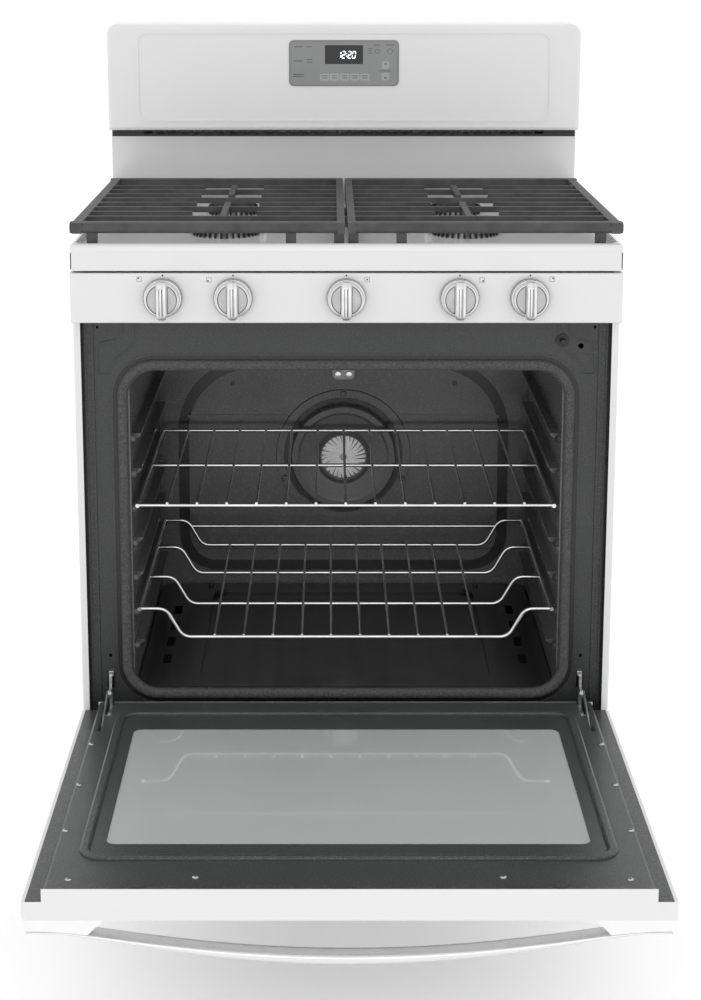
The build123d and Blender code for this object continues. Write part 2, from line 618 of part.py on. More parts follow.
def grate(side):
    """Half of the cast-iron top: outer rails, cross bars, burner fingers and feet."""
    z1 = GRATE_TOP_Z
    z0 = z1 - GRATE_HEIGHT
    inner = GRATE_GAP / 2
    outer = HALF - 0.5
    front_rail = block(inner, outer, GRATE_FRONT_Y, GRATE_FRONT_Y + 20, z0, z1)
    front_rail = fillet(front_rail.edges().filter_by(Axis.X).group_by(Axis.Y)[0], 7)
    back_rail = block(inner, outer, GRATE_BACK_Y - 16, GRATE_BACK_Y, z0, z1)
    outer_rail = block(outer - 16, outer, GRATE_FRONT_Y, GRATE_BACK_Y, z0, z1)
    outer_rail = fillet(outer_rail.edges().filter_by(Axis.Y).group_by(Axis.X)[-1], 5)
    inner_rail = block(inner, inner + 11, GRATE_FRONT_Y, GRATE_BACK_Y, z0, z1)
    casting = front_rail + back_rail + outer_rail + inner_rail
    casting += grate_bars(inner + 5, outer - 8, z1)
    casting += burner_fingers(z1)
    casting += [block(x - 7, x + 7, y - 7, y + 7, PAN_Z + TOUCH, z0 + 1) for x, y in grate_feet()]
    return casting if side > 0 else left_of(casting)


def grate_feet():
    """Corner and middle feet of one grate."""
    inner = GRATE_GAP / 2 + 8
    places = [(inner, 22), (76, 20), (HALF - 30, 20)]
    places += [(inner, GRATE_BACK_Y - 10), (76, GRATE_BACK_Y - 9), (HALF - 30, GRATE_BACK_Y - 9)]
    return places


def grate_bars(x0, x1, z1):
    """Cross bars; every second one is cut away over the burners."""
    bars = []
    for row in range(BAR_COUNT):
        y = BAR_FIRST_Y + BAR_SPACING * row
        y0 = y - BAR_WIDTH / 2
        y1 = y + BAR_WIDTH / 2
        if row % 2:
            bars.append(block(x0, BURNER_X - BAR_OPENING, y0, y1, z1 - BAR_HEIGHT, z1))
            bars.append(block(BURNER_X + BAR_OPENING, x1, y0, y1, z1 - BAR_HEIGHT, z1))
        else:
            bars.append(block(x0, x1, y0, y1, z1 - BAR_HEIGHT, z1))
    return bars


def burner_fingers(z1):
    """Bar from front to back over each burner, with round ends."""
    fingers = []
    for y, reach in ((FRONT_BURNER_Y, 80), (REAR_BURNER_Y, 64)):
        outline = Pos(BURNER_X, y) * SlotOverall(2 * reach, FINGER_WIDTH, rotation=90)
        fingers.append(slab_xy(outline, z1 - BAR_HEIGHT - 1, z1))
    return fingers


# ---------------------------------------------------------------- controls
def control_panel():
    """White fascia with returned edges and a hole for each valve stem."""
    depth = SIDE_FRONT_Y
    panel = block(-HALF, HALF, 0, depth, PANEL_LOW_Z, PANEL_HIGH_Z)
    panel = fillet(panel.edges().filter_by(Axis.X).group_by(Axis.Y)[0], 2.5)
    panel -= block(-HALF + SHEET, HALF - SHEET, SHEET, depth + 1, PANEL_LOW_Z + SHEET, PANEL_HIGH_Z - SHEET)
    holes = [rod_y(x, -2, SHEET + 2, KNOB_Z, STEM_RADIUS + 3) for x in KNOB_X]
    return panel - holes


def gas_valves():
    """One tap body for each knob, with a bore for its stem, standing on the manifold's front."""
    taps = []
    for x in KNOB_X:
        body = block(x - 13, x + 13, VALVE_Y, VALVE_Y + VALVE_DEPTH, KNOB_Z - 13, KNOB_Z + 13)
        nose = rod_y(x, VALVE_Y - 6, VALVE_Y, KNOB_Z, 9)
        outlet = rod_z(x, VALVE_Y + 14, KNOB_Z + 13, KNOB_Z + 26, 5)
        bore = rod_y(x, VALVE_Y - 7, VALVE_Y + 20, KNOB_Z, STEM_RADIUS + RUNNING_FIT)
        taps.append(body + nose + outlet - bore)
    return Part() + taps


def gas_manifold():
    """Square supply tube across the front, behind the taps, and the pipe that feeds it."""
    y0 = VALVE_Y + VALVE_DEPTH
    tube = block(-300, 330, y0, y0 + MANIFOLD, KNOB_Z - MANIFOLD / 2, KNOB_Z + MANIFOLD / 2)
    tube -= block(-297, 327, y0 + 2, y0 + MANIFOLD - 2, KNOB_Z - MANIFOLD / 2 + 2, KNOB_Z + MANIFOLD / 2 - 2)
    rear = rod_y(REGULATOR_X, y0 + MANIFOLD, REGULATOR_Y - 25, KNOB_Z, 7)
    elbow = Pos(REGULATOR_X, REGULATOR_Y, KNOB_Z) * Sphere(7)
    tail = rod_y(REGULATOR_X, REGULATOR_Y - 26, REGULATOR_Y, KNOB_Z, 7)
    drop = rod_z(REGULATOR_X, REGULATOR_Y, REGULATOR_Z + 22, KNOB_Z, 7)
    return tube + rear + elbow + tail + drop


def gas_regulator():
    """Pressure regulator low at the back, with the threaded inlet facing down."""
    body = Pos(REGULATOR_X, REGULATOR_Y, REGULATOR_Z) * Box(32, 40, 44)
    dome = rod_x(REGULATOR_X - 50, REGULATOR_X - 16, REGULATOR_Y, REGULATOR_Z, 22)
    spout = rod_z(REGULATOR_X, REGULATOR_Y, REGULATOR_Z - 42, REGULATOR_Z - 22, 15)
    inlet = rod_z(REGULATOR_X, REGULATOR_Y, REGULATOR_Z - 43, REGULATOR_Z - 22, INLET_RADIUS)
    return body + dome + spout - inlet


def valve_stem(x):
    """Turning spindle of a tap, from inside the tap to inside its knob."""
    return rod_y(x, STEM_TIP_Y, VALVE_Y + 18, KNOB_Z, STEM_RADIUS)


def knob(x):
    """Round skirted knob with a raised grip bar and a blind hub bore."""
    y1 = KNOB_BACK_Y
    y0 = y1 - KNOB_DEPTH
    ring = rod_y(x, y1 - 6, y1, KNOB_Z, KNOB_RADIUS)
    ring = fillet(ring.edges().group_by(Axis.Y)[0], 1.5)
    skirt = Cone(KNOB_RADIUS - 1.5, KNOB_RADIUS - 4, KNOB_DEPTH)
    body = Pos(x, (y0 + y1) / 2, KNOB_Z) * Rot(90, 0, 0) * skirt
    outline = Pos(x, KNOB_Z - 1) * SlotOverall(2 * KNOB_RADIUS + 2, 13, rotation=90)
    grip = slab_xz(outline, y0 - KNOB_GRIP, y1 - 4)
    grip = fillet(grip.edges().group_by(Axis.Y)[0], 2.5)
    bore = rod_y(x, STEM_TIP_Y - KNOB_TRAVEL - 1, y1 + 1, KNOB_Z, STEM_RADIUS + RUNNING_FIT)
    return ring + body + grip - bore


# ---------------------------------------------------------------- console and backguard
def console_shell():
    """Upright control housing with rounded top corners, an embossed field and a closed underside and back."""
    outline = oblong(-HALF, HALF, CONSOLE_LOW_Z - 40, HEIGHT, 16)
    outline -= Pos(0, CONSOLE_LOW_Z - 40) * Rectangle(WIDTH + 2, 80)
    shell = slab_xz(outline, CONSOLE_Y, BACK_Y - SHEET)
    shell = fillet(shell.faces().sort_by(Axis.Y)[0].edges(), 6)
    cavity = oblong(-HALF + 2, HALF - 2, CONSOLE_LOW_Z - 40, HEIGHT - 2, 14)
    cavity -= Pos(0, CONSOLE_LOW_Z - 40) * Rectangle(WIDTH + 2, 84)
    shell -= slab_xz(cavity, CONSOLE_Y + 2, BACK_Y - 2 * SHEET)
    shell += ring_xz(333, 1036, 1180, 20, 4, CONSOLE_Y - 1.2, CONSOLE_Y + 0.5)
    shell -= block(-OVERLAY_HALF_WIDTH + 8, OVERLAY_HALF_WIDTH - 8, CONSOLE_Y - 1, CONSOLE_Y + 3,
                   OVERLAY_LOW_Z + 8, OVERLAY_HIGH_Z - 8)
    return shell


def control_overlay():
    """Membrane keypad sheet with a window for the display."""
    sheet = slab_xz(oblong(-OVERLAY_HALF_WIDTH, OVERLAY_HALF_WIDTH, OVERLAY_LOW_Z, OVERLAY_HIGH_Z, 8),
                    CONSOLE_Y - OVERLAY, CONSOLE_Y)
    return sheet - display_block(CONSOLE_Y - 3, CONSOLE_Y + 1)


def display_block(y0, y1):
    """Space of the display, from y0 to y1."""
    return block(-DISPLAY_HALF_WIDTH, DISPLAY_HALF_WIDTH, y0, y1, DISPLAY_LOW_Z, DISPLAY_HIGH_Z)


def display_window():
    return display_block(CONSOLE_Y - OVERLAY + 0.3, CONSOLE_Y)


def control_board():
    """Clock and igniter board behind the keypad, with its display block and connectors."""
    board = block(-75, 75, CONSOLE_Y + 14, CONSOLE_Y + 15.6, OVERLAY_LOW_Z + 6, OVERLAY_HIGH_Z - 6)
    sockets = []
    for x in (-60, -20, 20):
        low = OVERLAY_LOW_Z + 14
        sockets.append(block(x, x + 24, CONSOLE_Y + 15.6, CONSOLE_Y + 30, low, low + 20))
    return board + display_block(CONSOLE_Y, CONSOLE_Y + 14) + sockets


def backguard():
    """White riser between the cooktop and the console, closed at the sides."""
    z1 = CONSOLE_LOW_Z
    front = block(-HALF, HALF, BACKGUARD_Y, BACKGUARD_Y + SHEET, TRIM_LOW_Z, z1 - VENT_HEIGHT)
    ends = both_sides(block(SIDE_INNER, HALF, BACKGUARD_Y, BACK_Y - SHEET, TRIM_LOW_Z, z1))
    top = block(-HALF, HALF, BACKGUARD_Y, BACK_Y - SHEET, z1 - VENT_HEIGHT - SHEET, z1 - VENT_HEIGHT)
    rear = block(-HALF, HALF, BACK_Y - 2 * SHEET, BACK_Y - SHEET, PAN_Z - 5, z1)
    return front + ends + top + rear


def vent_trim():
    """Dark slotted strip under the console, where the oven flue leaves."""
    z0 = CONSOLE_LOW_Z - VENT_HEIGHT
    strip = block(-SIDE_INNER, SIDE_INNER, BACKGUARD_Y + 1, BACKGUARD_Y + 6, z0, CONSOLE_LOW_Z)
    middles = [20 * k for k in range(-16, 17)]
    slots = [block(x - 7, x + 7, BACKGUARD_Y, BACKGUARD_Y + 7, z0 + 4, z0 + 9) for x in middles]
    return strip - slots


# ---------------------------------------------------------------- oven door, drawn closed
def door_shell():
    """White outer skin: face with a window hole, side flanges and a deep top and bottom edge."""
    y0 = DOOR_FACE_Y
    y1 = y0 + DOOR_SIDE_DEPTH
    skin = block(-HALF, HALF, y0, y1, DOOR_BOTTOM_Z, DOOR_TOP_Z)
    skin = fillet(skin.edges().filter_by(Axis.Z).group_by(Axis.Y)[0], 4)
    z0 = DOOR_BOTTOM_Z + SHEET
    z1 = DOOR_TOP_Z - SHEET
    skin -= block(-HALF + SHEET, HALF - SHEET, y0 + SHEET, y1 - SHEET, z0, z1)
    lip = LINER_HALF_WIDTH - 6
    skin -= block(-lip, lip, y1 - 2 * SHEET, y1 + 1, z0, z1)
    edge = LINER_HALF_WIDTH + 1
    skin += block(-edge, edge, y1 - 1, DOOR_LINER_Y + DOOR_BEAD - 1, DOOR_TOP_Z - SHEET, DOOR_TOP_Z)
    skin += block(-edge, edge, y1 - 1, DOOR_LINER_Y, DOOR_BOTTOM_Z, DOOR_BOTTOM_Z + SHEET)
    window = oblong(-WINDOW_HALF_WIDTH, WINDOW_HALF_WIDTH, WINDOW_LOW_Z, WINDOW_HIGH_Z, 14)
    skin -= slab_xz(window, y0 - 1, y0 + SHEET + 1)
    for side in (-1, 1):
        x = side * HINGE_X
        skin -= block(x - 7, x + 7, y0 + 8, DOOR_LINER_Y + 1, DOOR_BOTTOM_Z - 1, DOOR_BOTTOM_Z + 2 * SHEET)
    return skin


def door_liner():
    """Enamelled inner pan with a pressed bead, a window hole, hinge slots and a tabbed top lip."""
    w = LINER_HALF_WIDTH
    y1 = DOOR_LINER_Y
    base = DOOR_FACE_Y + DOOR_SIDE_DEPTH
    z0 = DOOR_BOTTOM_Z + SHEET
    z1 = DOOR_TOP_Z - SHEET
    pan = block(-w, w, base, y1, z0, z1)
    pan = fillet(pan.edges().filter_by(Axis.Z).group_by(Axis.Y)[-1], 4)
    pan -= block(-w + SHEET, w - SHEET, base - 1, y1 - SHEET, z0 + SHEET, z1 - SHEET)
    bead = ring_xz(325, 256, 721, 30, 13, y1 - 1, y1 + DOOR_BEAD)
    bead_top = bead.faces().sort_by(Axis.Y)[-1]
    pan += fillet(bead_top.edges(), 3.5)
    pan += slab_xz(oblong(-w + 4, w - 4, z1 - 10, z1 - 1, 3), y1 - 1, y1 + 2.5)
    for x in (-245, 0, 245):
        pan += slab_xz(oblong(x - 7, x + 7, z1 - 16, z1 - 2, 2), y1 - 1, y1 + 3.5)
    margin = 6
    window = oblong(-GLASS_HALF_WIDTH + margin, GLASS_HALF_WIDTH - margin,
                    GLASS_LOW_Z + margin, GLASS_HIGH_Z - margin, 12)
    pan -= slab_xz(window, y1 - SHEET - 1, y1 + 1)
    for side in (-1, 1):
        x = side * HINGE_X
        pan -= block(x - 7, x + 7, base - 1, y1 + 1, z0 - 1, NOSE_Z + 16)
        link_x = side * (HINGE_X + ARM / 2 + TOUCH + LINK / 2)
        pan -= block(link_x - 3, link_x + 3, base + 4, y1 + 1, NOSE_Z, LINK_SLOT_Z)
    return pan + both_sides(block(w - 1, w + LINER_SIDE_FLANGE, base, base + SHEET, z0, z1))


def door_inner_glass():
    y1 = DOOR_LINER_Y - SHEET
    return slab_xz(oblong(-GLASS_HALF_WIDTH, GLASS_HALF_WIDTH, GLASS_LOW_Z, GLASS_HIGH_Z, 10), y1 - GLASS, y1)


def door_outer_glass():
    y0 = DOOR_FACE_Y + SHEET
    margin = 18
    outline = oblong(-WINDOW_HALF_WIDTH - margin, WINDOW_HALF_WIDTH + margin,
                     WINDOW_LOW_Z - margin, WINDOW_HIGH_Z + margin, 10)
    return slab_xz(outline, y0, y0 + GLASS)


def door_screws():
    """Pan-head screws round the liner."""
    heads = []
    places = [(328, 770), (180, 764), (348, 640), (348, 505), (348, 372)]
    for x, z in places:
        head = rod_y(x, DOOR_LINER_Y, DOOR_LINER_Y + 1.8, z, 4)
        heads.append(both_sides(head))
    return Part() + heads


def handle_outline(reach, end_reach):
    """Crescent curve over the door, as distance from its face, for one side of the bar."""
    w = HANDLE_HALF_WIDTH
    drop = reach - end_reach
    shares = ((-1.0, 0.0), (-0.92, 0.02), (-0.80, 0.17), (-0.63, 0.46), (-0.35, 0.83), (0.0, 1.0))
    left = [(w * s, DOOR_FACE_Y - end_reach - drop * rise) for s, rise in shares]
    right = [(-x, y) for x, y in reversed(left[:-1])]
    return left + right


def handle_bar(z0, z1):
    """The crescent between its inner and outer curves, from z0 to z1."""
    front = Spline(*handle_outline(HANDLE_REACH, HANDLE_END_REACH))
    back = Spline(*handle_outline(HANDLE_REACH - HANDLE_MIDDLE, HANDLE_END_REACH - HANDLE_END))
    sides = [Line(front @ 0, back @ 0), Line(front @ 1, back @ 1)]
    return slab_xy(make_face([front, back] + sides), z0, z1)


def door_handle():
    z1 = DOOR_TOP_Z - 1
    bar = handle_bar(z1 - HANDLE_HEIGHT, z1)
    return fillet(bar.edges().filter_by(GeomType.BSPLINE), 2.0)


def handle_end_caps():
    """White plastic feet between the bar's ends and the door face."""
    w = HANDLE_HALF_WIDTH + 2
    y0 = DOOR_FACE_Y
    tip = y0 - HANDLE_END_REACH - 8
    inner = Spline((w - 92, y0), (w - 84, y0 - 7), (w - 66, tip))
    sides = [Line((w - 66, tip), (w, tip)), Line((w, tip), (w, y0)), Line((w, y0), (w - 92, y0))]
    outline = make_face([inner] + sides)
    cap = slab_xy(outline, DOOR_TOP_Z - HANDLE_HEIGHT - 3, DOOR_TOP_Z)
    beyond = block(0, w + 5, tip - 1, y0 - HANDLE_END_REACH, DOOR_TOP_Z - 60, DOOR_TOP_Z + 10)
    caps = both_sides(cap - beyond)
    return caps - handle_bar(*AROUND_HANDLE) - over_bar()


def over_bar():
    """Space on the outer side of the bar, so that the caps stay behind it."""
    front = handle_outline(HANDLE_REACH, HANDLE_END_REACH)
    w = HANDLE_HALF_WIDTH
    edge = Spline(*front)
    far = DOOR_FACE_Y - HANDLE_REACH - 20
    sides = [Line((w, front[-1][1]), (w, far)), Line((w, far), (-w, far)), Line((-w, far), (-w, front[0][1]))]
    return slab_xy(make_face([edge] + sides), *AROUND_HANDLE)


# ---------------------------------------------------------------- hinges


def hinge_arm():
    """Steel arm that hooks into the frame slot, drops behind the door and carries both pivots."""
    eye = Pos(PIVOT_Y, PIVOT_Z) * Circle(8)
    foot = Pos((PIVOT_Y + 39) / 2, PIVOT_Z) * Rectangle(39 - PIVOT_Y, 12)
    column = Pos(35, (PIVOT_Z - 6 + ARM_LOW_Z + 16) / 2) * Rectangle(8, ARM_LOW_Z + 22 - PIVOT_Z)
    nose = Pos(NOSE_Y, NOSE_Z) * Circle(6.5)
    bridge = Pos((NOSE_Y + 35) / 2, NOSE_Z) * Rectangle(35 - NOSE_Y, 12)
    tail = Pos(65, ARM_LOW_Z + 8) * Rectangle(60, 16)
    plate = eye + foot + column + nose + bridge + tail
    plate -= Pos(PIVOT_Y, PIVOT_Z) * Circle(PIN_RADIUS + RUNNING_FIT)
    plate -= Pos(NOSE_Y, NOSE_Z) * Circle(LINK_PIN_RADIUS + RUNNING_FIT)
    arm = slab_yz(plate, HINGE_X - ARM / 2, HINGE_X + ARM / 2)
    pocket = block(HINGE_X - 10, HINGE_X + 10, FRAME_Y + SHEET, FRAME_Y + 60, ARM_LOW_Z - 12, ARM_LOW_Z + 28)
    pocket -= block(HINGE_X - 8, HINGE_X + 8, FRAME_Y, FRAME_Y + 58, ARM_LOW_Z - 10, ARM_LOW_Z + 26)
    pocket -= block(HINGE_X - 3, HINGE_X + 3, FRAME_Y, FRAME_Y + 62, ARM_LOW_Z, ARM_LOW_Z + 16)
    pocket += block(HINGE_X + ARM / 2, HINGE_X + 9, FRAME_Y + 20, FRAME_Y + 40, ARM_LOW_Z + 2, ARM_LOW_Z + 14)
    return arm + pocket


def hinge_channel():
    """Channel inside the door with the pivot pin across its cheeks, drawn closed."""
    low = DOOR_BOTTOM_Z + 3.4
    high = PIVOT_Z + 130
    y0 = DOOR_FACE_Y + SHEET
    y1 = DOOR_LINER_Y - SHEET - 2
    cheek = HINGE_X + 5.5
    channel = block(2 * HINGE_X - cheek - SHEET, cheek + SHEET, y0, y1, low, high)
    channel -= block(2 * HINGE_X - cheek, cheek, y0 + SHEET, y1 + 1, low - 1, high + 1)
    pin = rod_x(2 * HINGE_X - cheek, cheek, PIVOT_Y, PIVOT_Z, PIN_RADIUS)
    return channel + pin


def hinge_link():
    """Bright link from the arm's nose down into the door, drawn with the door open."""
    angle = math.radians(LINK_OPEN_ANGLE)
    end = (NOSE_Y + LINK_LENGTH * math.cos(angle), NOSE_Z + LINK_LENGTH * math.sin(angle))
    middle = ((NOSE_Y + end[0]) / 2, (NOSE_Z + end[1]) / 2)
    strap = Pos(*middle) * SlotOverall(LINK_LENGTH + 9, 9, rotation=LINK_OPEN_ANGLE)
    strap -= Pos(*end) * Circle(2)
    x0 = HINGE_X + ARM / 2 + TOUCH
    plate = slab_yz(strap, x0, x0 + LINK)
    return plate + rod_x(HINGE_X - ARM / 2 - 1, x0 + LINK / 2, NOSE_Y, NOSE_Z, LINK_PIN_RADIUS)


# ---------------------------------------------------------------- door switch
def door_switch():
    """Switch body behind the frame with a round collar on its face."""
    collar = rod_y(SWITCH_X, FRAME_Y - 2.5, FRAME_Y + 4, SWITCH_Z, SWITCH_RADIUS)
    body = block(SWITCH_X - 13, SWITCH_X + 13, FRAME_Y + 4, FRAME_Y + 34, SWITCH_Z - 5, SWITCH_Z + 20)
    bore = rod_y(SWITCH_X, FRAME_Y - 4, FRAME_Y + 24, SWITCH_Z, PLUNGER_RADIUS + RUNNING_FIT)
    return collar + body - bore


def switch_plunger():
    """Button that the closing door pushes in."""
    y0 = FRAME_Y - PLUNGER_OUT
    pin = rod_y(SWITCH_X, y0, FRAME_Y + 12, SWITCH_Z, PLUNGER_RADIUS)
    return fillet(pin.edges().group_by(Axis.Y)[0], 1.5)


# ---------------------------------------------------------------- racks
def rack_wires_y(xs, y0, y1, z, radius):
    return [rod_y(x, y0, y1, z, radius) for x in xs]


def upper_rack():
    """Flat rack: side rails, three cross bars and thin wires on them."""
    z = RACK_LOWEST_Z + 4 * RACK_SPACING
    y0 = LINER_FRONT_Y + 0.5
    y1 = y0 + 450
    w = RACK_HALF_WIDTH
    frame = [rod_y(side * w, y0, y1, z, RACK_RAIL_RADIUS) for side in (-1, 1)]
    bars = [rod_x(-w, w, y, z, RACK_RAIL_RADIUS - 0.2) for y in (y0 + 3, (y0 + y1) / 2, y1 - 3)]
    pitch = (2 * w) / (UPPER_WIRES + 1)
    xs = [pitch * (k - (UPPER_WIRES - 1) / 2) for k in range(UPPER_WIRES)]
    wires = rack_wires_y(xs, y0, y1, z + 3.6, 1.9)
    return frame[0] + frame[1:] + bars + wires


def lower_rack():
    """Dropped rack: its wires hang below the side rails and rise at both ends."""
    rail_z = RACK_LOWEST_Z + RACK_SPACING
    low_z = RACK_LOWEST_Z + 9
    y0 = LINER_FRONT_Y + 0.5
    y1 = y0 + 452
    w = RACK_HALF_WIDTH
    rails = [rod_y(side * w, y0, y1, rail_z, RACK_RAIL_RADIUS) for side in (-1, 1)]
    cross = []
    for y in (y0 + 3, y0 + 150, y0 + 300, y1 - 3):
        path = FilletPolyline((-w, y, rail_z), (-w + 38, y, rail_z), (-w + 62, y, low_z), (w - 62, y, low_z),
                              (w - 38, y, rail_z), (w, y, rail_z), radius=20)
        section = Plane(origin=(-w, y, rail_z), z_dir=(1, 0, 0)) * Circle(2.8)
        cross.append(sweep(section, path))
    pitch = 42
    xs = [pitch * (k - (LOWER_WIRES - 1) / 2) for k in range(LOWER_WIRES)]
    wires = rack_wires_y([x for x in xs if abs(x) < w - 66], y0, y1, low_z + 3.6, 1.9)
    stop = rod_x(-w + 43, w - 43, y1 - 3, rail_z - 10, 2.5)
    return rails[0] + rails[1:] + cross + wires + stop


# ---------------------------------------------------------------- storage drawer
def drawer_front():
    """White pan-shaped front with a finger lip along its top edge."""
    y0 = DOOR_FACE_Y
    y1 = SIDE_FRONT_Y - 3
    w = HALF - 0.5
    front = block(-w, w, y0, y1, DRAWER_BOTTOM_Z, DRAWER_TOP_Z)
    front = fillet(front.edges().filter_by(Axis.Z).group_by(Axis.Y)[0], 4)
    front = fillet(front.edges().filter_by(Axis.X).group_by(Axis.Y)[0], 3)
    front -= block(-w + SHEET, w - SHEET, y0 + SHEET, y1 + 1, DRAWER_BOTTOM_Z + SHEET, DRAWER_TOP_Z - SHEET)
    grip = block(-110, 110, y0 + 6, y1 + 1, DRAWER_TOP_Z - 2, DRAWER_TOP_Z + 1)
    return front - grip


def drawer_box():
    """Open steel tray with flanges that run over the side rails."""
    w = DRAWER_BOX_HALF_WIDTH
    y0 = SIDE_FRONT_Y - 3
    y1 = y0 + DRAWER_BOX_DEPTH
    z0 = DRAWER_BOX_LOW_Z
    z1 = DRAWER_BOX_HIGH_Z
    tray = block(-w, w, y0, y1, z0, z1)
    tray -= block(-w + SHEET, w - SHEET, y0 + SHEET, y1 - SHEET, z0 + SHEET, z1 + 1)
    flange = block(w - 1, w + 20, y0 + 30, y1, z1 - SHEET, z1)
    face = block(-w - 30, w + 30, y0 - SHEET, y0 + SHEET, DRAWER_BOTTOM_Z + 4, DRAWER_TOP_Z - 4)
    face -= block(-w + SHEET, w - SHEET, y0 - 3, y0 + 3, z1, DRAWER_TOP_Z)
    return tray + both_sides(flange) + face


# ---------------------------------------------------------------- all the pieces
def static_pieces():
    right_side = side_panel()
    return {
        "side_panel_right": right_side,
        "side_panel_left": left_of(right_side),
        "back_panel": back_panel(),
        "base_frame": base_frame(),
        "levelling_feet": levelling_feet(),
        "front_frame": front_frame(),
        "oven_liner": oven_liner(),
        "oven_insulation": oven_insulation(),
        "oven_gasket": oven_gasket(),
        "oven_bottom_panel": oven_bottom_panel(),
        "oven_burners": oven_burners(),
        "oven_lamp_holder": oven_lamp_holder(),
        "oven_lamp_lens": oven_lamp_lens(),
        "temperature_probe": temperature_probe(),
        "fan_cover": fan_cover(),
        "fan_motor": fan_motor(),
        "cooktop": cooktop(),
        "burner_heads": burner_heads(),
        "burner_caps": burner_caps(),
        "spark_electrodes": spark_electrodes(),
        "control_panel": control_panel(),
        "gas_valves": gas_valves(),
        "gas_manifold": gas_manifold(),
        "gas_regulator": gas_regulator(),
        "console_shell": console_shell(),
        "control_overlay": control_overlay(),
        "display_window": display_window(),
        "control_board": control_board(),
        "backguard": backguard(),
        "vent_trim": vent_trim(),
        "hinge_arms": both_sides(hinge_arm()),
        "door_switch": door_switch(),
    }


def door_pieces():
    return {
        "door_shell": opened(door_shell()),
        "door_liner": opened(door_liner()),
        "door_inner_glass": opened(door_inner_glass()),
        "door_outer_glass": opened(door_outer_glass()),
        "door_screws": opened(door_screws()),
        "door_handle": opened(door_handle()),
        "handle_end_caps": opened(handle_end_caps()),
        "door_hinge_channels": opened(both_sides(hinge_channel())),
    }


def moving_pieces():
    right_link = hinge_link()
    pieces = {
        "hinge_link_right": right_link,
        "hinge_link_left": left_of(right_link),
        "switch_plunger": switch_plunger(),
        "fan_wheel": fan_wheel(),
        "upper_rack": upper_rack(),
        "lower_rack": lower_rack(),
        "grate_right": grate(1),
        "grate_left": grate(-1),
        "drawer_front": drawer_front(),
        "drawer_box": drawer_box(),
    }
    for number, x in enumerate(KNOB_X, start=1):
        pieces[f"knob_{number}"] = knob(x)
        pieces[f"valve_stem_{number}"] = valve_stem(x)
    return pieces


def write_pieces():
    os.makedirs("parts", exist_ok=True)
    pieces = {**static_pieces(), **door_pieces(), **moving_pieces()}
    for name, shape in pieces.items():
        export_step(Pos(0, -ORIGIN_Y, 0) * shape, f"parts/{name}.step")
    return pieces


write_pieces()
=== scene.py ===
import json
import math

import bmesh
import bpy
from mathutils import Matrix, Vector


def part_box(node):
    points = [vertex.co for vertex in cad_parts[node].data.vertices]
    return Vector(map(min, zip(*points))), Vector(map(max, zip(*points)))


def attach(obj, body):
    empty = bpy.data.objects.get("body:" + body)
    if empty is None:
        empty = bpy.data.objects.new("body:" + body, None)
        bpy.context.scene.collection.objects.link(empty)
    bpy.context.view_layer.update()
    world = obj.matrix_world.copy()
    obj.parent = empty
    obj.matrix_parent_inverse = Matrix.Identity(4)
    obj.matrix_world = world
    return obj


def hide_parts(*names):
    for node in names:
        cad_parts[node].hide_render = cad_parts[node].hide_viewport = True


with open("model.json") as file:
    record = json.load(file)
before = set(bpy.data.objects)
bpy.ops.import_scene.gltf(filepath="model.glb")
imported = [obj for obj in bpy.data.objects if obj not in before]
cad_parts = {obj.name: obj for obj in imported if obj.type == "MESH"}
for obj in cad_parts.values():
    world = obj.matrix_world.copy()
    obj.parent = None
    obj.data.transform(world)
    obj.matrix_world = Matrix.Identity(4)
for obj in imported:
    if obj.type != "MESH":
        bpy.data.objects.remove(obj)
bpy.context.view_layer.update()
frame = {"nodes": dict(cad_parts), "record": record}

ROOT = "range_body"

SHARP_ANGLE = 38
BEVEL_ANGLE = 35
MARK = 0.00012
STEM_HOLE = 0.0062
GASKET_WIDTH = 0.015
GASKET_RADIUS = 0.054
GASKET_GAP = 0.0028
COVER_SCREW_CIRCLE = 0.105
COVER_SCREW_ANGLES = (0, 112, 248)
WALL_HOLE_X = 0.184
WALL_HOLE_Z = 0.604
CREASE_HALF = 0.255
UPPER_CREASE = (0.5476, 0.5492)
LOWER_CREASE = (0.3180, 0.3188)
HINGE_X = 0.339
HINGE_HOOK_Z = (0.2765, 0.2845)
FLOOR_HALF = 60.0
FLOOR_GLOW = 0.22
SEGMENTS = {"1": "bc", "2": "abged", "0": "abcdef"}


# ------------------------------------------------------------------ node helpers
def new_material(name):
    """A node material, its tree and its Principled shader."""
    material = bpy.data.materials.new(name)
    material.use_nodes = True
    tree = material.node_tree
    return material, tree, tree.nodes["Principled BSDF"]


def place_coords(tree, stretch=(1, 1, 1)):
    """Object coordinates in metres, stretched along the axes."""
    coords = tree.nodes.new("ShaderNodeTexCoord")
    mapping = tree.nodes.new("ShaderNodeMapping")
    mapping.inputs["Scale"].default_value = stretch
    tree.links.new(coords.outputs["Object"], mapping.inputs["Vector"])
    return mapping.outputs["Vector"]


def noise(tree, scale, detail=2.0, stretch=(1, 1, 1), roughness=0.5):
    """Noise value with about `scale` lumps in a metre."""
    node = tree.nodes.new("ShaderNodeTexNoise")
    node.inputs["Scale"].default_value = scale
    node.inputs["Detail"].default_value = detail
    node.inputs["Roughness"].default_value = roughness
    tree.links.new(place_coords(tree, stretch), node.inputs["Vector"])
    return node.outputs["Fac"]


def ramp(tree, value, stops):
    """Colour ramp over a value; stops are (position, grey or colour)."""
    node = tree.nodes.new("ShaderNodeValToRGB")
    elements = node.color_ramp.elements
    while len(elements) < len(stops):
        elements.new(0.5)
    for element, (position, colour) in zip(elements, stops):
        if isinstance(colour, (int, float)):
            colour = (colour, colour, colour)
        element.position = position
        element.color = (*colour, 1)
    tree.links.new(value, node.inputs["Fac"])
    return node.outputs["Color"]


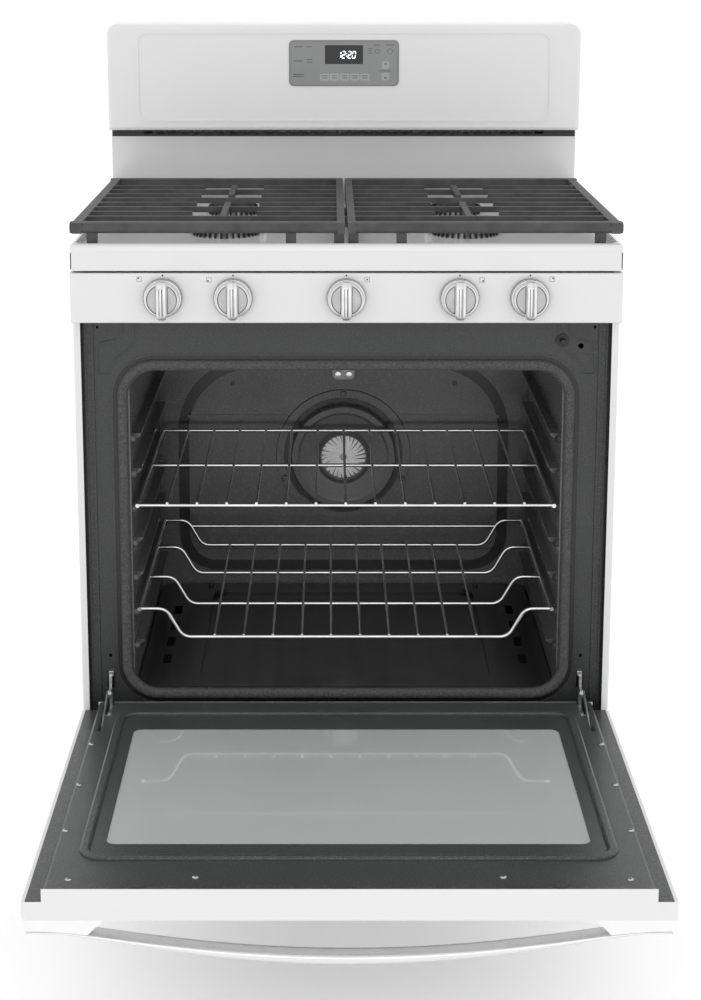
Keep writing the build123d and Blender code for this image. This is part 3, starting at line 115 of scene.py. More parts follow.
def span(tree, value, low, high):
    """Value from 0..1 stretched to low..high."""
    node = tree.nodes.new("ShaderNodeMapRange")
    node.inputs["To Min"].default_value = low
    node.inputs["To Max"].default_value = high
    tree.links.new(value, node.inputs["Value"])
    return node.outputs["Result"]


def bump(tree, shader, height, strength, distance):
    node = tree.nodes.new("ShaderNodeBump")
    node.inputs["Strength"].default_value = strength
    node.inputs["Distance"].default_value = distance
    tree.links.new(height, node.inputs["Height"])
    tree.links.new(node.outputs["Normal"], shader.inputs["Normal"])
    return node


def chain_bump(tree, first, height, strength, distance):
    """Second bump laid under an existing one."""
    node = tree.nodes.new("ShaderNodeBump")
    node.inputs["Strength"].default_value = strength
    node.inputs["Distance"].default_value = distance
    tree.links.new(height, node.inputs["Height"])
    tree.links.new(node.outputs["Normal"], first.inputs["Normal"])


# ------------------------------------------------------------------ materials
def enamel_white(name="white_enamel", tint=(0.76, 0.76, 0.76)):
    """Glossy white enamel with a faint orange-peel surface."""
    material, tree, shader = new_material(name)
    dull = tuple(c * 0.975 for c in tint)
    tree.links.new(ramp(tree, noise(tree, 2.5, 3), [(0.3, dull), (0.7, tint)]), shader.inputs["Base Color"])
    tree.links.new(span(tree, noise(tree, 14, 4), 0.16, 0.26), shader.inputs["Roughness"])
    peel = bump(tree, shader, noise(tree, 420, 1), 0.10, 0.0004)
    chain_bump(tree, peel, noise(tree, 9, 2), 0.12, 0.002)
    shader.inputs["Coat Weight"].default_value = 0.35
    shader.inputs["Coat Roughness"].default_value = 0.06
    return material


def enamel_speckled(name, base, fleck, gloss=0.24):
    """Dark porcelain enamel with fine pale flecks."""
    material, tree, shader = new_material(name)
    lift = tuple(c * 1.35 for c in base)
    field = ramp(tree, noise(tree, 5, 4), [(0.3, base), (0.75, lift)])
    flecks = ramp(tree, noise(tree, 620, 2.5, roughness=0.65), [(0.56, 0.0), (0.66, 1.0)])
    mix = tree.nodes.new("ShaderNodeMix")
    mix.data_type = "RGBA"
    tree.links.new(flecks, mix.inputs["Factor"])
    tree.links.new(field, mix.inputs["A"])
    mix.inputs["B"].default_value = (*fleck, 1)
    tree.links.new(mix.outputs["Result"], shader.inputs["Base Color"])
    tree.links.new(span(tree, noise(tree, 30, 3), gloss - 0.05, gloss + 0.09), shader.inputs["Roughness"])
    first = bump(tree, shader, noise(tree, 500, 2), 0.16, 0.0005)
    chain_bump(tree, first, noise(tree, 12, 2), 0.18, 0.003)
    return material


def cast_iron():
    """Matte porcelain over sand-cast iron: grainy, with slightly polished high spots."""
    material, tree, shader = new_material("iron")
    tone = ramp(tree, noise(tree, 40, 5), [(0.3, (0.038, 0.038, 0.039)), (0.75, (0.070, 0.070, 0.071))])
    tree.links.new(tone, shader.inputs["Base Color"])
    tree.links.new(span(tree, noise(tree, 150, 3), 0.42, 0.68), shader.inputs["Roughness"])
    grain = bump(tree, shader, noise(tree, 900, 3), 0.35, 0.0006)
    chain_bump(tree, grain, noise(tree, 130, 3), 0.25, 0.001)
    return material


def bright_wire():
    """Chrome-plated rack wire with slight heat tint."""
    material, tree, shader = new_material("chrome_wire")
    tone = ramp(tree, noise(tree, 18, 3), [(0.3, (0.62, 0.61, 0.59)), (0.7, (0.80, 0.80, 0.79))])
    tree.links.new(tone, shader.inputs["Base Color"])
    shader.inputs["Metallic"].default_value = 1.0
    tree.links.new(span(tree, noise(tree, 60, 3), 0.10, 0.22), shader.inputs["Roughness"])
    bump(tree, shader, noise(tree, 700, 2), 0.10, 0.0003)
    return material


def brushed(name, low, high, stretch, rough=(0.28, 0.42), relief=0.08):
    """Brushed metal: fine lines along the axis that isn't stretched."""
    material, tree, shader = new_material(name)
    lines = noise(tree, 60, 4, stretch)
    tree.links.new(ramp(tree, lines, [(0.25, low), (0.75, high)]), shader.inputs["Base Color"])
    shader.inputs["Metallic"].default_value = 1.0
    tree.links.new(span(tree, lines, *rough), shader.inputs["Roughness"])
    bump(tree, shader, noise(tree, 90, 3, stretch), relief, 0.0004)
    return material


def galvanised():
    """Zinc-coated sheet with its spangle of pale and dark crystals."""
    material, tree, shader = new_material("galvanised_steel")
    cells = tree.nodes.new("ShaderNodeTexVoronoi")
    cells.inputs["Scale"].default_value = 90
    tree.links.new(place_coords(tree), cells.inputs["Vector"])
    grey = tree.nodes.new("ShaderNodeRGBToBW")
    tree.links.new(cells.outputs["Color"], grey.inputs["Color"])
    tone = ramp(tree, grey.outputs["Val"], [(0.1, (0.38, 0.39, 0.40)), (0.9, (0.56, 0.57, 0.58))])
    tree.links.new(tone, shader.inputs["Base Color"])
    shader.inputs["Metallic"].default_value = 0.9
    tree.links.new(span(tree, grey.outputs["Val"], 0.32, 0.48), shader.inputs["Roughness"])
    bump(tree, shader, noise(tree, 200, 3), 0.06, 0.0005)
    return material


def cast_metal(name, low, high, metal=1.0):
    """Die-cast or turned metal with a fine sandy skin."""
    material, tree, shader = new_material(name)
    tree.links.new(ramp(tree, noise(tree, 70, 4), [(0.3, low), (0.7, high)]), shader.inputs["Base Color"])
    shader.inputs["Metallic"].default_value = metal
    tree.links.new(span(tree, noise(tree, 120, 2), 0.30, 0.45), shader.inputs["Roughness"])
    bump(tree, shader, noise(tree, 1100, 2), 0.15, 0.0003)
    return material


def plastic(name, colour, rough, grain=0.05):
    """Moulded plastic with a fine spark-eroded grain."""
    material, tree, shader = new_material(name)
    pale = tuple(min(1.0, c * 1.06 + 0.002) for c in colour)
    tree.links.new(ramp(tree, noise(tree, 25, 3), [(0.3, colour), (0.7, pale)]), shader.inputs["Base Color"])
    tree.links.new(span(tree, noise(tree, 90, 2), rough - 0.04, rough + 0.05), shader.inputs["Roughness"])
    bump(tree, shader, noise(tree, 1500, 1), grain, 0.0003)
    return material


def wool():
    """Yellow glass wool, layered and fluffy."""
    material, tree, shader = new_material("glass_fibre")
    tone = ramp(tree, noise(tree, 55, 6, (1, 1, 3)), [(0.3, (0.42, 0.34, 0.14)), (0.7, (0.66, 0.57, 0.32))])
    tree.links.new(tone, shader.inputs["Base Color"])
    shader.inputs["Roughness"].default_value = 0.9
    bump(tree, shader, noise(tree, 180, 5, (1, 1, 2)), 0.6, 0.003)
    return material


def woven():
    """Glass-fibre braid of the oven seal."""
    material, tree, shader = new_material("woven_gasket")
    tone = ramp(tree, noise(tree, 420, 3), [(0.35, (0.040, 0.040, 0.040)), (0.7, (0.098, 0.099, 0.099))])
    tree.links.new(tone, shader.inputs["Base Color"])
    shader.inputs["Roughness"].default_value = 0.75
    bump(tree, shader, noise(tree, 800, 3), 0.5, 0.0008)
    return material


def glass(name, colour, rough, through, haze=0.0):
    """Tempered glass; `through` is how much light passes."""
    material, tree, shader = new_material(name)
    pale = tuple(c * 1.06 for c in colour)
    tree.links.new(ramp(tree, noise(tree, 4, 3), [(0.3, colour), (0.7, pale)]), shader.inputs["Base Color"])
    tree.links.new(span(tree, noise(tree, 11, 3), rough, rough + 0.03 + haze), shader.inputs["Roughness"])
    shader.inputs["Transmission Weight"].default_value = through
    shader.inputs["IOR"].default_value = 1.52
    bump(tree, shader, noise(tree, 3, 1), 0.05, 0.002)
    return material


def porcelain():
    material, tree, shader = new_material("porcelain")
    tone = ramp(tree, noise(tree, 60, 3), [(0.3, (0.72, 0.70, 0.65)), (0.7, (0.80, 0.79, 0.75))])
    tree.links.new(tone, shader.inputs["Base Color"])
    tree.links.new(span(tree, noise(tree, 90, 2), 0.22, 0.34), shader.inputs["Roughness"])
    bump(tree, shader, noise(tree, 400, 2), 0.1, 0.0004)
    return material


def glow(name, colour, strength):
    """Lit display segment."""
    material, _, shader = new_material(name)
    shader.inputs["Base Color"].default_value = (*colour, 1)
    shader.inputs["Emission Color"].default_value = (*colour, 1)
    shader.inputs["Emission Strength"].default_value = strength
    return material


def make_materials():
    return {
        "white_enamel": enamel_white(),
        "grey_enamel": enamel_speckled("grey_enamel", (0.026, 0.027, 0.027), (0.085, 0.088, 0.088)),
        # Lighter copy of the oven enamel for the oven walls (painted light) and a darker copy for the oven
        # floor (painted shade)
        "lit_wall_enamel": enamel_speckled("lit_wall_enamel", (0.088, 0.090, 0.089), (0.20, 0.205, 0.205), 0.20),
        "shaded_floor_enamel": enamel_speckled("shaded_floor_enamel", (0.020, 0.020, 0.020), (0.06, 0.06, 0.06), 0.20),
        "shadow_enamel": enamel_speckled("shadow_enamel", (0.008, 0.008, 0.008), (0.02, 0.02, 0.02)),
        "liner_enamel": enamel_speckled("liner_enamel", (0.036, 0.042, 0.039), (0.15, 0.16, 0.155), 0.30),
        "galvanised_steel": galvanised(),
        "stainless_steel": brushed("stainless_steel", (0.46, 0.46, 0.455), (0.62, 0.62, 0.61), (0.2, 8, 8)),
        "iron": cast_iron(),
        "chrome_wire": bright_wire(),
        "aluminium_casting": cast_metal("aluminium_casting", (0.52, 0.52, 0.52), (0.68, 0.68, 0.67)),
        "brass_fitting": cast_metal("brass_fitting", (0.55, 0.40, 0.17), (0.72, 0.55, 0.28)),
        "silver_plastic": cast_metal("silver_plastic", (0.52, 0.52, 0.53), (0.62, 0.62, 0.63), 0.6),
        "white_plastic": plastic("white_plastic", (0.83, 0.83, 0.83), 0.25),
        "grey_overlay": plastic("grey_overlay", (0.235, 0.24, 0.24), 0.35),
        "black_plastic": plastic("black_plastic", (0.012, 0.012, 0.013), 0.4),
        "glass_fibre": wool(),
        "woven_gasket": woven(),
        "clear_glass": glass("clear_glass", (0.66, 0.67, 0.67), 0.03, 0.35),
        "dark_glass": glass("dark_glass", (0.012, 0.012, 0.014), 0.03, 0.0),
        "porcelain": porcelain(),
        "bright_silver": cast_metal("bright_silver", (0.74, 0.74, 0.75), (0.82, 0.82, 0.83), 0.75),
        "bright_vane": cast_metal("bright_vane", (0.78, 0.78, 0.78), (0.88, 0.88, 0.88), 0.3),
        "knob_grey": cast_metal("knob_grey", (0.50, 0.50, 0.50), (0.58, 0.58, 0.58), 0.15),
        # Near-black metal used for painted shade on the knobs
        "dark_plating": cast_metal("dark_plating", (0.06, 0.06, 0.062), (0.10, 0.10, 0.10), 0.5),
        "burner_metal": cast_metal("burner_metal", (0.22, 0.22, 0.22), (0.34, 0.34, 0.34), 0.8),
        "handle_steel": brushed("handle_steel", (0.72, 0.72, 0.72), (0.77, 0.77, 0.77), (0.2, 8, 8),
                                (0.26, 0.30), 0.02),
        "pale_print": plastic("pale_print", (0.33, 0.335, 0.335), 0.4),
        "grey_print": plastic("grey_print", (0.05, 0.05, 0.052), 0.45),
        "clock_light": glow("clock_light", (0.78, 0.90, 1.0), 2.2),
    }


MATERIALS = make_materials()


# Own finish of the burner heads; the oven walls and fan cover get a lighter copy of the enamel (painted
# light), the oven floor a darker copy (painted shade)
FINISH_AND_PAINTED_LIGHT = {"oven_liner": "lit_wall_enamel", "fan_cover": "lit_wall_enamel", "oven_bottom_panel": "shaded_floor_enamel",
              "burner_heads": "burner_metal"}


def dress_frame():
    """Gives every CAD node the material of its slot in the record, or a finish of its own; the oven walls get
    a lighter copy of the enamel (painted light) and the oven floor a darker copy (painted shade).
    """
    slots = {row["node"]: row["material_slot"] for row in frame["record"]["subparts"]}
    for name, node in frame["nodes"].items():
        node.data.materials.clear()
        node.data.materials.append(MATERIALS[FINISH_AND_PAINTED_LIGHT.get(name, slots[name])])


dress_frame()


# ------------------------------------------------------------------ mesh helpers
def centre(node):
    """Middle of a CAD node's box."""
    low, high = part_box(node)
    return (Vector(low) + Vector(high)) / 2


def add_piece(name, verts, faces, body, material, slot=None, replaces=(), smooth=True, bevel=None):
    """Makes a mesh object, rides it on a body and says which CAD nodes it stands for."""
    mesh = bpy.data.meshes.new(name)
    mesh.from_pydata([tuple(v) for v in verts], [], faces)
    mesh.validate()
    work = bmesh.new()
    work.from_mesh(mesh)
    bmesh.ops.remove_doubles(work, verts=work.verts, dist=1e-6)
    bmesh.ops.recalc_face_normals(work, faces=work.faces)
    work.to_mesh(mesh)
    work.free()
    piece = bpy.data.objects.new(name, mesh)
    bpy.context.scene.collection.objects.link(piece)
    mesh.materials.append(MATERIALS[material])
    if smooth:
        mesh.shade_smooth()
        mesh.set_sharp_from_angle(angle=math.radians(SHARP_ANGLE))
    if bevel:
        round_edges(piece, bevel)
    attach(piece, body)
    if replaces:
        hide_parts(*replaces)
    return piece


def round_edges(piece, width, segments=2):
    """Bevel modifier on the sharp edges."""
    modifier = piece.modifiers.new("edges", "BEVEL")
    modifier.width = width
    modifier.segments = segments
    modifier.limit_method = "ANGLE"
    modifier.angle_limit = math.radians(BEVEL_ANGLE)
    modifier.harden_normals = True


def join_lists(parts):
    """Joins (verts, faces) pairs into one pair."""
    verts, faces = [], []
    for part_verts, part_faces in parts:
        start = len(verts)
        verts += part_verts
        faces += [tuple(start + i for i in face) for face in part_faces]
    return verts, faces


def lathe(profile, middle, segments=64):
    """Turns (radius, y) points about the Y axis through `middle`; y counts from middle.y."""
    verts, faces = [], []
    for radius, y in profile:
        for k in range(segments):
            angle = 2 * math.pi * k / segments
            x = middle[0] + radius * math.cos(angle)
            z = middle[2] + radius * math.sin(angle)
            verts.append((x, middle[1] + y, z))
    for row in range(len(profile) - 1):
        for k in range(segments):
            a = row * segments + k
            b = row * segments + (k + 1) % segments
            faces.append((a, b, b + segments, a + segments))
    if profile[0][0] > 1e-5 and profile[0][0] == profile[-1][0] and profile[0][1] == profile[-1][1]:
        return verts, faces
    faces.append(tuple(range(segments - 1, -1, -1)))
    last = (len(profile) - 1) * segments
    faces.append(tuple(range(last, last + segments)))
    return verts, faces


def prism(points, y0, y1):
    """Closed outline in X and Z made solid from y0 to y1."""
    count = len(points)
    verts = [(x, y0, z) for x, z in points] + [(x, y1, z) for x, z in points]
    faces = [tuple(range(count)), tuple(range(2 * count - 1, count - 1, -1))]
    for k in range(count):
        after = (k + 1) % count
        faces.append((k, k + count, after + count, after))
    return verts, faces


def rounded(x0, x1, z0, z1, radius, steps=6):
    """Points round a rounded rectangle in X and Z."""
    points = []
    corners = ((x1 - radius, z1 - radius, 0), (x0 + radius, z1 - radius, 90),
               (x0 + radius, z0 + radius, 180), (x1 - radius, z0 + radius, 270))
    for x, z, start in corners:
        for k in range(steps + 1):
            angle = math.radians(start + 90 * k / steps)
            points.append((x + radius * math.cos(angle), z + radius * math.sin(angle)))
    return points


def circle(x, z, radius, steps=24):
    turns = [2 * math.pi * k / steps for k in range(steps)]
    return [(x + radius * math.cos(turn), z + radius * math.sin(turn)) for turn in turns]


def closed_path(x0, x1, z0, z1, low_radius, high_radius, pitch):
    """Even points round a rectangle with two corner radii, each with its outward direction."""
    runs = []
    corners = ((x1, z1, high_radius, 0), (x0, z1, high_radius, 90),
               (x0, z0, low_radius, 180), (x1, z0, low_radius, 270))
    for x, z, radius, start in corners:
        cx = x - radius if start in (0, 270) else x + radius
        cz = z - radius if start in (0, 90) else z + radius
        steps = max(4, round(radius * math.pi / 2 / pitch))
        for k in range(steps + 1):
            angle = math.radians(start + 90 * k / steps)
            out = (math.cos(angle), math.sin(angle))
            runs.append((cx + radius * out[0], cz + radius * out[1], out))
    points = []
    for k, (x, z, out) in enumerate(runs):
        nx, nz, _ = runs[(k + 1) % len(runs)]
        points.append((x, z, out))
        gap = math.hypot(nx - x, nz - z)
        if gap > 1.5 * pitch:
            steps = round(gap / pitch)
            points += [(x + (nx - x) * j / steps, z + (nz - z) * j / steps, out) for j in range(1, steps)]
    return points


def swept_band(path, section, keep=None, closed=True):
    """Sweeps a section of (across, y) points along a path of (x, z, outward)."""
    verts, faces = [], []
    width = len(section(0))
    for k, (x, z, out) in enumerate(path):
        verts += [(x + out[0] * across, y, z + out[1] * across) for across, y in section(k)]
    for k in range(len(path) if closed else len(path) - 1):
        after = (k + 1) % len(path)
        if keep and not (keep(path[k]) and keep(path[after])):
            continue
        for j in range(width - 1):
            faces.append((k * width + j, k * width + j + 1, after * width + j + 1, after * width + j))
    return verts, faces


def islands(node):
    """Box middle and size of each loose part of a CAD node."""
    work = bmesh.new()
    work.from_mesh(frame["nodes"][node].data)
    bmesh.ops.remove_doubles(work, verts=work.verts, dist=1e-5)
    found, seen = [], set()
    for first in work.verts:
        if first in seen:
            continue
        group, stack = [], [first]
        seen.add(first)
        while stack:
            vert = stack.pop()
            group.append(vert.co.copy())
            for edge in vert.link_edges:
                other = edge.other_vert(vert)
                if other not in seen:
                    seen.add(other)
                    stack.append(other)
        low = Vector([min(p[i] for p in group) for i in range(3)])
        high = Vector([max(p[i] for p in group) for i in range(3)])
        found.append(((low + high) / 2, high - low))
    work.free()
    return sorted(found, key=lambda row: (round(row[0].x, 4), round(row[0].y, 4)))


# ------------------------------------------------------------------ knobs
def knob_body(middle, back):
    """Skirt, bright rim and dished face of a knob."""
    profile = [(0.0268, 0.0), (0.0268, -0.0042), (0.0262, -0.0056), (0.0252, -0.0060), (0.0242, -0.0066),
               (0.0236, -0.0160), (0.0228, -0.0184), (0.0216, -0.0190), (0.0206, -0.0184), (0.0202, -0.0172)]
    return lathe(profile, (middle.x, back, middle.z), 72)


def knob_face(middle, back):
    """Flat grey face inside the rim."""
    return lathe([(0.0204, -0.0166), (0.0204, -0.0174), (0.0198, -0.0177), (STEM_HOLE, -0.0177),
                  (STEM_HOLE, -0.0166), (0.0204, -0.0166)], (middle.x, back, middle.z), 72)


def knob_shade_rings(middle, back):
    """Painted shade: a dark line round the knob's foot and another in the crease just inside its rim."""
    foot = lathe([(0.0271, 0.0), (0.0271, -0.0016), (0.0262, -0.0059), (0.0258, -0.0059), (0.0258, 0.0)],
                 (middle.x, back, middle.z), 72)
    line = [(0.0209, -0.0172), (0.0209, -0.0187), (0.0202, -0.0184), (0.0202, -0.0172), (0.0209, -0.0172)]
    inner = lathe(line, (middle.x, back, middle.z), 72)
    return join_lists([foot, inner])


def grip_lines(middle, back):
    """Painted shade: dark lines in two grooves along the grip and a thin painted shadow at each of its
    flanks.
    """
    lines = []
    for x, half, top, foot in ((-0.0026, 0.0004, 0.0299, 0.0280), (0.0012, 0.0005, 0.0299, 0.0280),
                               (-0.0079, 0.0004, 0.0185, 0.0170), (0.0079, 0.0004, 0.0185, 0.0170)):
        left, right = middle.x + x - half, middle.x + x + half
        low, high = middle.z - 0.0205, middle.z + 0.0170
        outline = [(left, low), (right, low), (right, high), (left, high)]
        lines.append(prism(outline, back - top, back - foot))
    return join_lists(lines)


def grip_sections():
    """Half widths and depth of the grip along its length, from the pointed tip up."""
    return ((-0.0287, 0.0006, 0.014), (-0.0280, 0.0026, 0.019), (-0.0268, 0.0048, 0.0236),
            (-0.0240, 0.0068, 0.0270), (-0.0200, 0.0076, 0.0288), (-0.0060, 0.0077, 0.0297),
            (0.0060, 0.0077, 0.0297), (0.0180, 0.0076, 0.0286), (0.0222, 0.0072, 0.0262),
            (0.0244, 0.0064, 0.0225), (0.0254, 0.0050, 0.0180))


def knob_grip(middle, back):
    """Raised bar across the knob, with two flat lands and a groove between them."""
    verts, faces = [], []
    base = -0.0100
    for z, half, depth in grip_sections():
        top = -depth
        groove = top + min(0.0013, 0.1 * depth)
        row = [(-half, base), (-half, top + 0.0060), (-half * 0.93, top + 0.0022),
               (-half * 0.80, top + 0.0003),
               (-half * 0.66, top), (half * 0.10, top), (half * 0.16, groove), (half * 0.34, groove),
               (half * 0.40, top), (half * 0.80, top + 0.0003), (half * 0.93, top + 0.0022),
               (half, top + 0.0060), (half, base)]
        verts += [(middle.x + x, back + y, middle.z + z) for x, y in row]
    width = 13
    rows = len(verts) // width
    for k in range(rows - 1):
        for j in range(width - 1):
            faces.append((k * width + j, k * width + j + 1, (k + 1) * width + j + 1, (k + 1) * width + j))
        faces.append((k * width + width - 1, k * width, (k + 1) * width, (k + 1) * width + width - 1))
    faces.append(tuple(range(width)))
    faces.append(tuple(range(rows * width - 1, (rows - 1) * width - 1, -1)))
    return verts, faces


def make_knobs():
    for number in range(1, 6):
        axis = centre(f"valve_stem_{number}")
        body = f"knob_{number}"
        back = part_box(body)[1][1]
        add_piece(f"knob_{number}_rim", *knob_body(axis, back), body, "bright_silver", "silver_plastic",
                  [body])
        add_piece(f"knob_{number}_face", *knob_face(axis, back), body, "knob_grey", "silver_plastic")
        # Painted shade round the knob's foot and in the crease inside its rim
        add_piece(f"knob_{number}_outline", *knob_shade_rings(axis, back), body, "dark_plating", "silver_plastic")
        add_piece(f"knob_{number}_grip", *knob_grip(axis, back), body, "bright_silver", "silver_plastic")
        # Painted shade: black block under the grip's upper end, where it meets the knob face
        shade = prism(rounded(axis.x - 0.0058, axis.x + 0.0058, axis.z + 0.0213, axis.z + 0.0252, 0.0018),
                      back - 0.0196, back - 0.0150)
        # Painted shade in the grip's grooves and along its flanks
        add_piece(f"knob_{number}_lines", *grip_lines(axis, back), body, "dark_plating", "silver_plastic",
                  smooth=False)
        add_piece(f"knob_{number}_grip_end_shade", *shade, body, "black_plastic", "silver_plastic", bevel=0.0004)


# ------------------------------------------------------------------ marks on the panel
def make_panel_marks():
    """Index dot over each knob and a small square with a dot that shows its burner."""
    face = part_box("control_panel")[0][1]
    tops, frames = [], []
    icons = ((-0.032, 0.0255, -1, 1), (-0.033, 0.0245, -1, -1), (0.0285, 0.0250, 0, 0),
             (0.0305, 0.0245, 1, -1), (0.0300, 0.0255, 1, 1))
    for number, (dx, dz, side, row) in enumerate(icons, start=1):
        axis = centre(f"valve_stem_{number}")
        tops.append(prism(circle(axis.x, axis.z + 0.0307, 0.0013), face - MARK, face + MARK))
        x, z = axis.x + dx, axis.z + dz
        outer = rounded(x - 0.0035, x + 0.0035, z - 0.0035, z + 0.0035, 0.0008, 3)
        inner = rounded(x - 0.0031, x + 0.0031, z - 0.0031, z + 0.0031, 0.0006, 3)
        frames.append(flat_ring(outer, inner, face - MARK, face + MARK))
        dot = circle(x + side * 0.0013, z + row * 0.0013, 0.0012)
        tops.append(prism(dot, face - 1.2 * MARK, face + MARK))
    add_piece("panel_marks", *join_lists(tops + frames), ROOT, "grey_print", "black_plastic", smooth=False)


def flat_ring(outer, inner, y0, y1):
    """Thin frame between two outlines with the same number of points."""
    count = len(outer)
    verts = [(x, y, z) for y in (y0, y1) for loop in (outer, inner) for x, z in loop]
    faces = []
    for k in range(count):
        a = (k + 1) % count
        faces.append((k, a, count + a, count + k))
        faces.append((2 * count + a, 2 * count + k, 3 * count + k, 3 * count + a))
        faces.append((a, k, 2 * count + k, 2 * count + a))
        faces.append((count + k, count + a, 3 * count + a, 3 * count + k))
    return verts, faces


# ------------------------------------------------------------------ clock and keys
def segment_shapes(x, z, w, h, t):
    """Seven bars of a digit whose lower left corner is at (x, z)."""
    m = z + h / 2
    gap = 0.12 * t

    def across(level):
        return [(x + gap + t / 2, level), (x + t, level + t / 2), (x + w - t, level + t / 2),
                (x + w - gap - t / 2, level), (x + w - t, level - t / 2), (x + t, level - t / 2)]

    def upright(place, low, high):
        return [(place, low + gap + t / 2), (place + t / 2, low + t), (place + t / 2, high - t),
                (place, high - gap - t / 2), (place - t / 2, high - t), (place - t / 2, low + t)]

    left, right, low, high = x + t / 2, x + w - t / 2, z + t / 2, z + h - t / 2
    return {"a": across(high), "g": across(m), "d": across(low), "f": upright(left, m, high),
            "b": upright(right, m, high), "e": upright(left, low, m), "c": upright(right, low, m)}


def make_clock():
    """Lit digits behind the black window."""
    low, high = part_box("display_window")
    face = low[1]
    height = 0.0118
    width = 0.0060
    z = (low[2] + high[2]) / 2 - height / 2 - 0.0003
    start = (low[0] + high[0]) / 2 - 0.0102
    slant = 0.10
    parts = []
    for place, digit in zip((-0.0008, 0.0062, 0.0156, 0.0226), "1220"):
        shapes = segment_shapes(start + place, z, width, height, 0.00125)
        parts += [shapes[name] for name in SEGMENTS[digit]]
    for level in (0.32, 0.68):
        parts.append(circle(start + 0.0139, z + level * height, 0.0007, 12))
    slanted = [[(px + slant * (pz - z), pz) for px, pz in outline] for outline in parts]
    solids = join_lists([prism(outline, face - 0.0002, face + 0.0001) for outline in slanted])
    add_piece("clock_digits", *solids, ROOT, "clock_light", "dark_glass", smooth=False)


def make_keys():
    """Printed key fields on the grey membrane: pale keys, dark strokes and two round keys."""
    low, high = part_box("control_overlay")
    face = low[1]
    left, base = low[0], low[2]

    def at(x, z):
        return left + x, base + z

    pale, dark = [], []
    for k in range(5):
        x, z = at(0.0495 + 0.0161 * k, 0.0085)
        pale.append(prism(rounded(x, x + 0.0150, z, z + 0.0117, 0.0016, 4), face - MARK, face + MARK))
        for level in (0.0040, 0.0075):
            bar = rounded(x + 0.0030, x + 0.0120, z + level, z + level + 0.0009, 0.0004, 3)
            dark.append(prism(bar, face - 2 * MARK, face + MARK))
    for z in (0.0090, 0.0275):
        x, z = at(0.1483, z)
        pale.append(prism(rounded(x, x + 0.0125, z, z + 0.0125, 0.0030, 5), face - MARK, face + MARK))
    for z, tip in ((0.0140, -1), (0.0345, 1)):
        x, z = at(0.15455, z)
        arrow = [(x - 0.0024, z), (x, z + tip * 0.0026), (x + 0.0024, z)]
        dark.append(prism(arrow, face - 2 * MARK, face + MARK))
    for x, z, radius in ((0.1415, 0.0555, 0.0036), (0.1617, 0.0555, 0.0043)):
        x, z = at(x, z)
        dark.append(flat_ring(circle(x, z, radius), circle(x, z, radius - 0.0006), face - MARK, face + MARK))
    strokes = ((0.008, 0.0620, 0.014), (0.028, 0.0620, 0.009), (0.007, 0.0395, 0.015),
               (0.0285, 0.0420, 0.009), (0.0285, 0.0375, 0.009), (0.007, 0.0180, 0.017),
               (0.007, 0.0150, 0.017), (0.135, 0.0648, 0.011), (0.154, 0.0648, 0.015),
               (0.1275, 0.0595, 0.005), (0.1275, 0.0560, 0.005), (0.1275, 0.0520, 0.005),
               (0.143, 0.0236, 0.021))
    for x, z, length in strokes:
        x, z = at(x, z)
        dark.append(prism(rounded(x, x + length, z, z + 0.0010, 0.0004, 3), face - MARK, face + MARK))
    edge = flat_ring(rounded(left + 0.0012, high[0] - 0.0012, base + 0.0012, high[2] - 0.0012, 0.0070),
                     rounded(left + 0.0017, high[0] - 0.0017, base + 0.0017, high[2] - 0.0017, 0.0065),
                     face - MARK, face + MARK)
    add_piece("membrane_keys", *join_lists(pale), ROOT, "pale_print", "grey_overlay", smooth=False)
    add_piece("membrane_strokes", *join_lists(dark + [edge]), ROOT, "grey_print", "grey_overlay",
              smooth=False)


# ------------------------------------------------------------------ oven door seal
def make_gasket():
    """Domed braided seal round the opening, in a gap of painted shade."""
    low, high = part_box("oven_gasket")
    middle = GASKET_WIDTH / 2
    radius = GASKET_RADIUS - middle
    path = closed_path(low[0] + middle, high[0] - middle, low[2] + middle, high[2] - middle,
                       radius, radius, 0.0032)
    back, front = high[1], low[1]
    steps = 12

    def section(k):
        points = []
        for j in range(steps + 1):
            turn = math.pi * j / steps
            wave = 1 - 0.055 * (1 + math.sin(k * math.pi + j * math.pi)) * (0 < j < steps)
            across = -math.cos(turn) * (middle - 0.0002)
            points.append((across, back - (back - front) * math.sin(turn) ** 0.7 * wave))
        return points

    add_piece("gasket_braid", *swept_band(path, section), ROOT, "woven_gasket", replaces=["oven_gasket"])
    # Painted shade: near-black band in the gap round the seal
    gap = closed_path(low[0] - GASKET_GAP, high[0] + GASKET_GAP, low[2] - GASKET_GAP, high[2] + GASKET_GAP,
                      GASKET_RADIUS + GASKET_GAP, GASKET_RADIUS + GASKET_GAP, 0.006)
    add_piece("gasket_gap_shade", *swept_band(gap, lambda k: [(-0.0027, back - 0.0001), (0.0027, back - 0.0001),
                                                       (0.0027, back - 0.0005), (-0.0027, back - 0.0005),
                                                       (-0.0027, back - 0.0001)]),
              ROOT, "shadow_enamel", "grey_enamel", smooth=False)


# ------------------------------------------------------------------ oven back wall
def back_wall():
    """Y of the oven's back wall: the fan cover sits on it."""
    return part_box("fan_cover")[1][1]


def make_wall_groove():
    """Painted shade: near-black sheet in the pressed band that frames the back wall."""
    wall = back_wall()
    half = 0.0086
    x, low, high = 0.266, 0.290, 0.638
    lamp = centre("oven_lamp_lens")
    path = closed_path(-x, x, low, high, 0.054, 0.115, 0.008)

    def clear_of_lamp(point):
        return math.hypot(point[0] - lamp.x, point[1] - lamp.z) > 0.0375

    # Painted shade laid in the bottom of the band
    floor = wall + 0.0023
    section = [(-half, floor), (half, floor), (half, floor + 0.0001), (-half, floor + 0.0001), (-half, floor)]
    add_piece("wall_groove_shade", *swept_band(path, lambda k: section, clear_of_lamp), ROOT,
              "shadow_enamel", "grey_enamel", smooth=False)


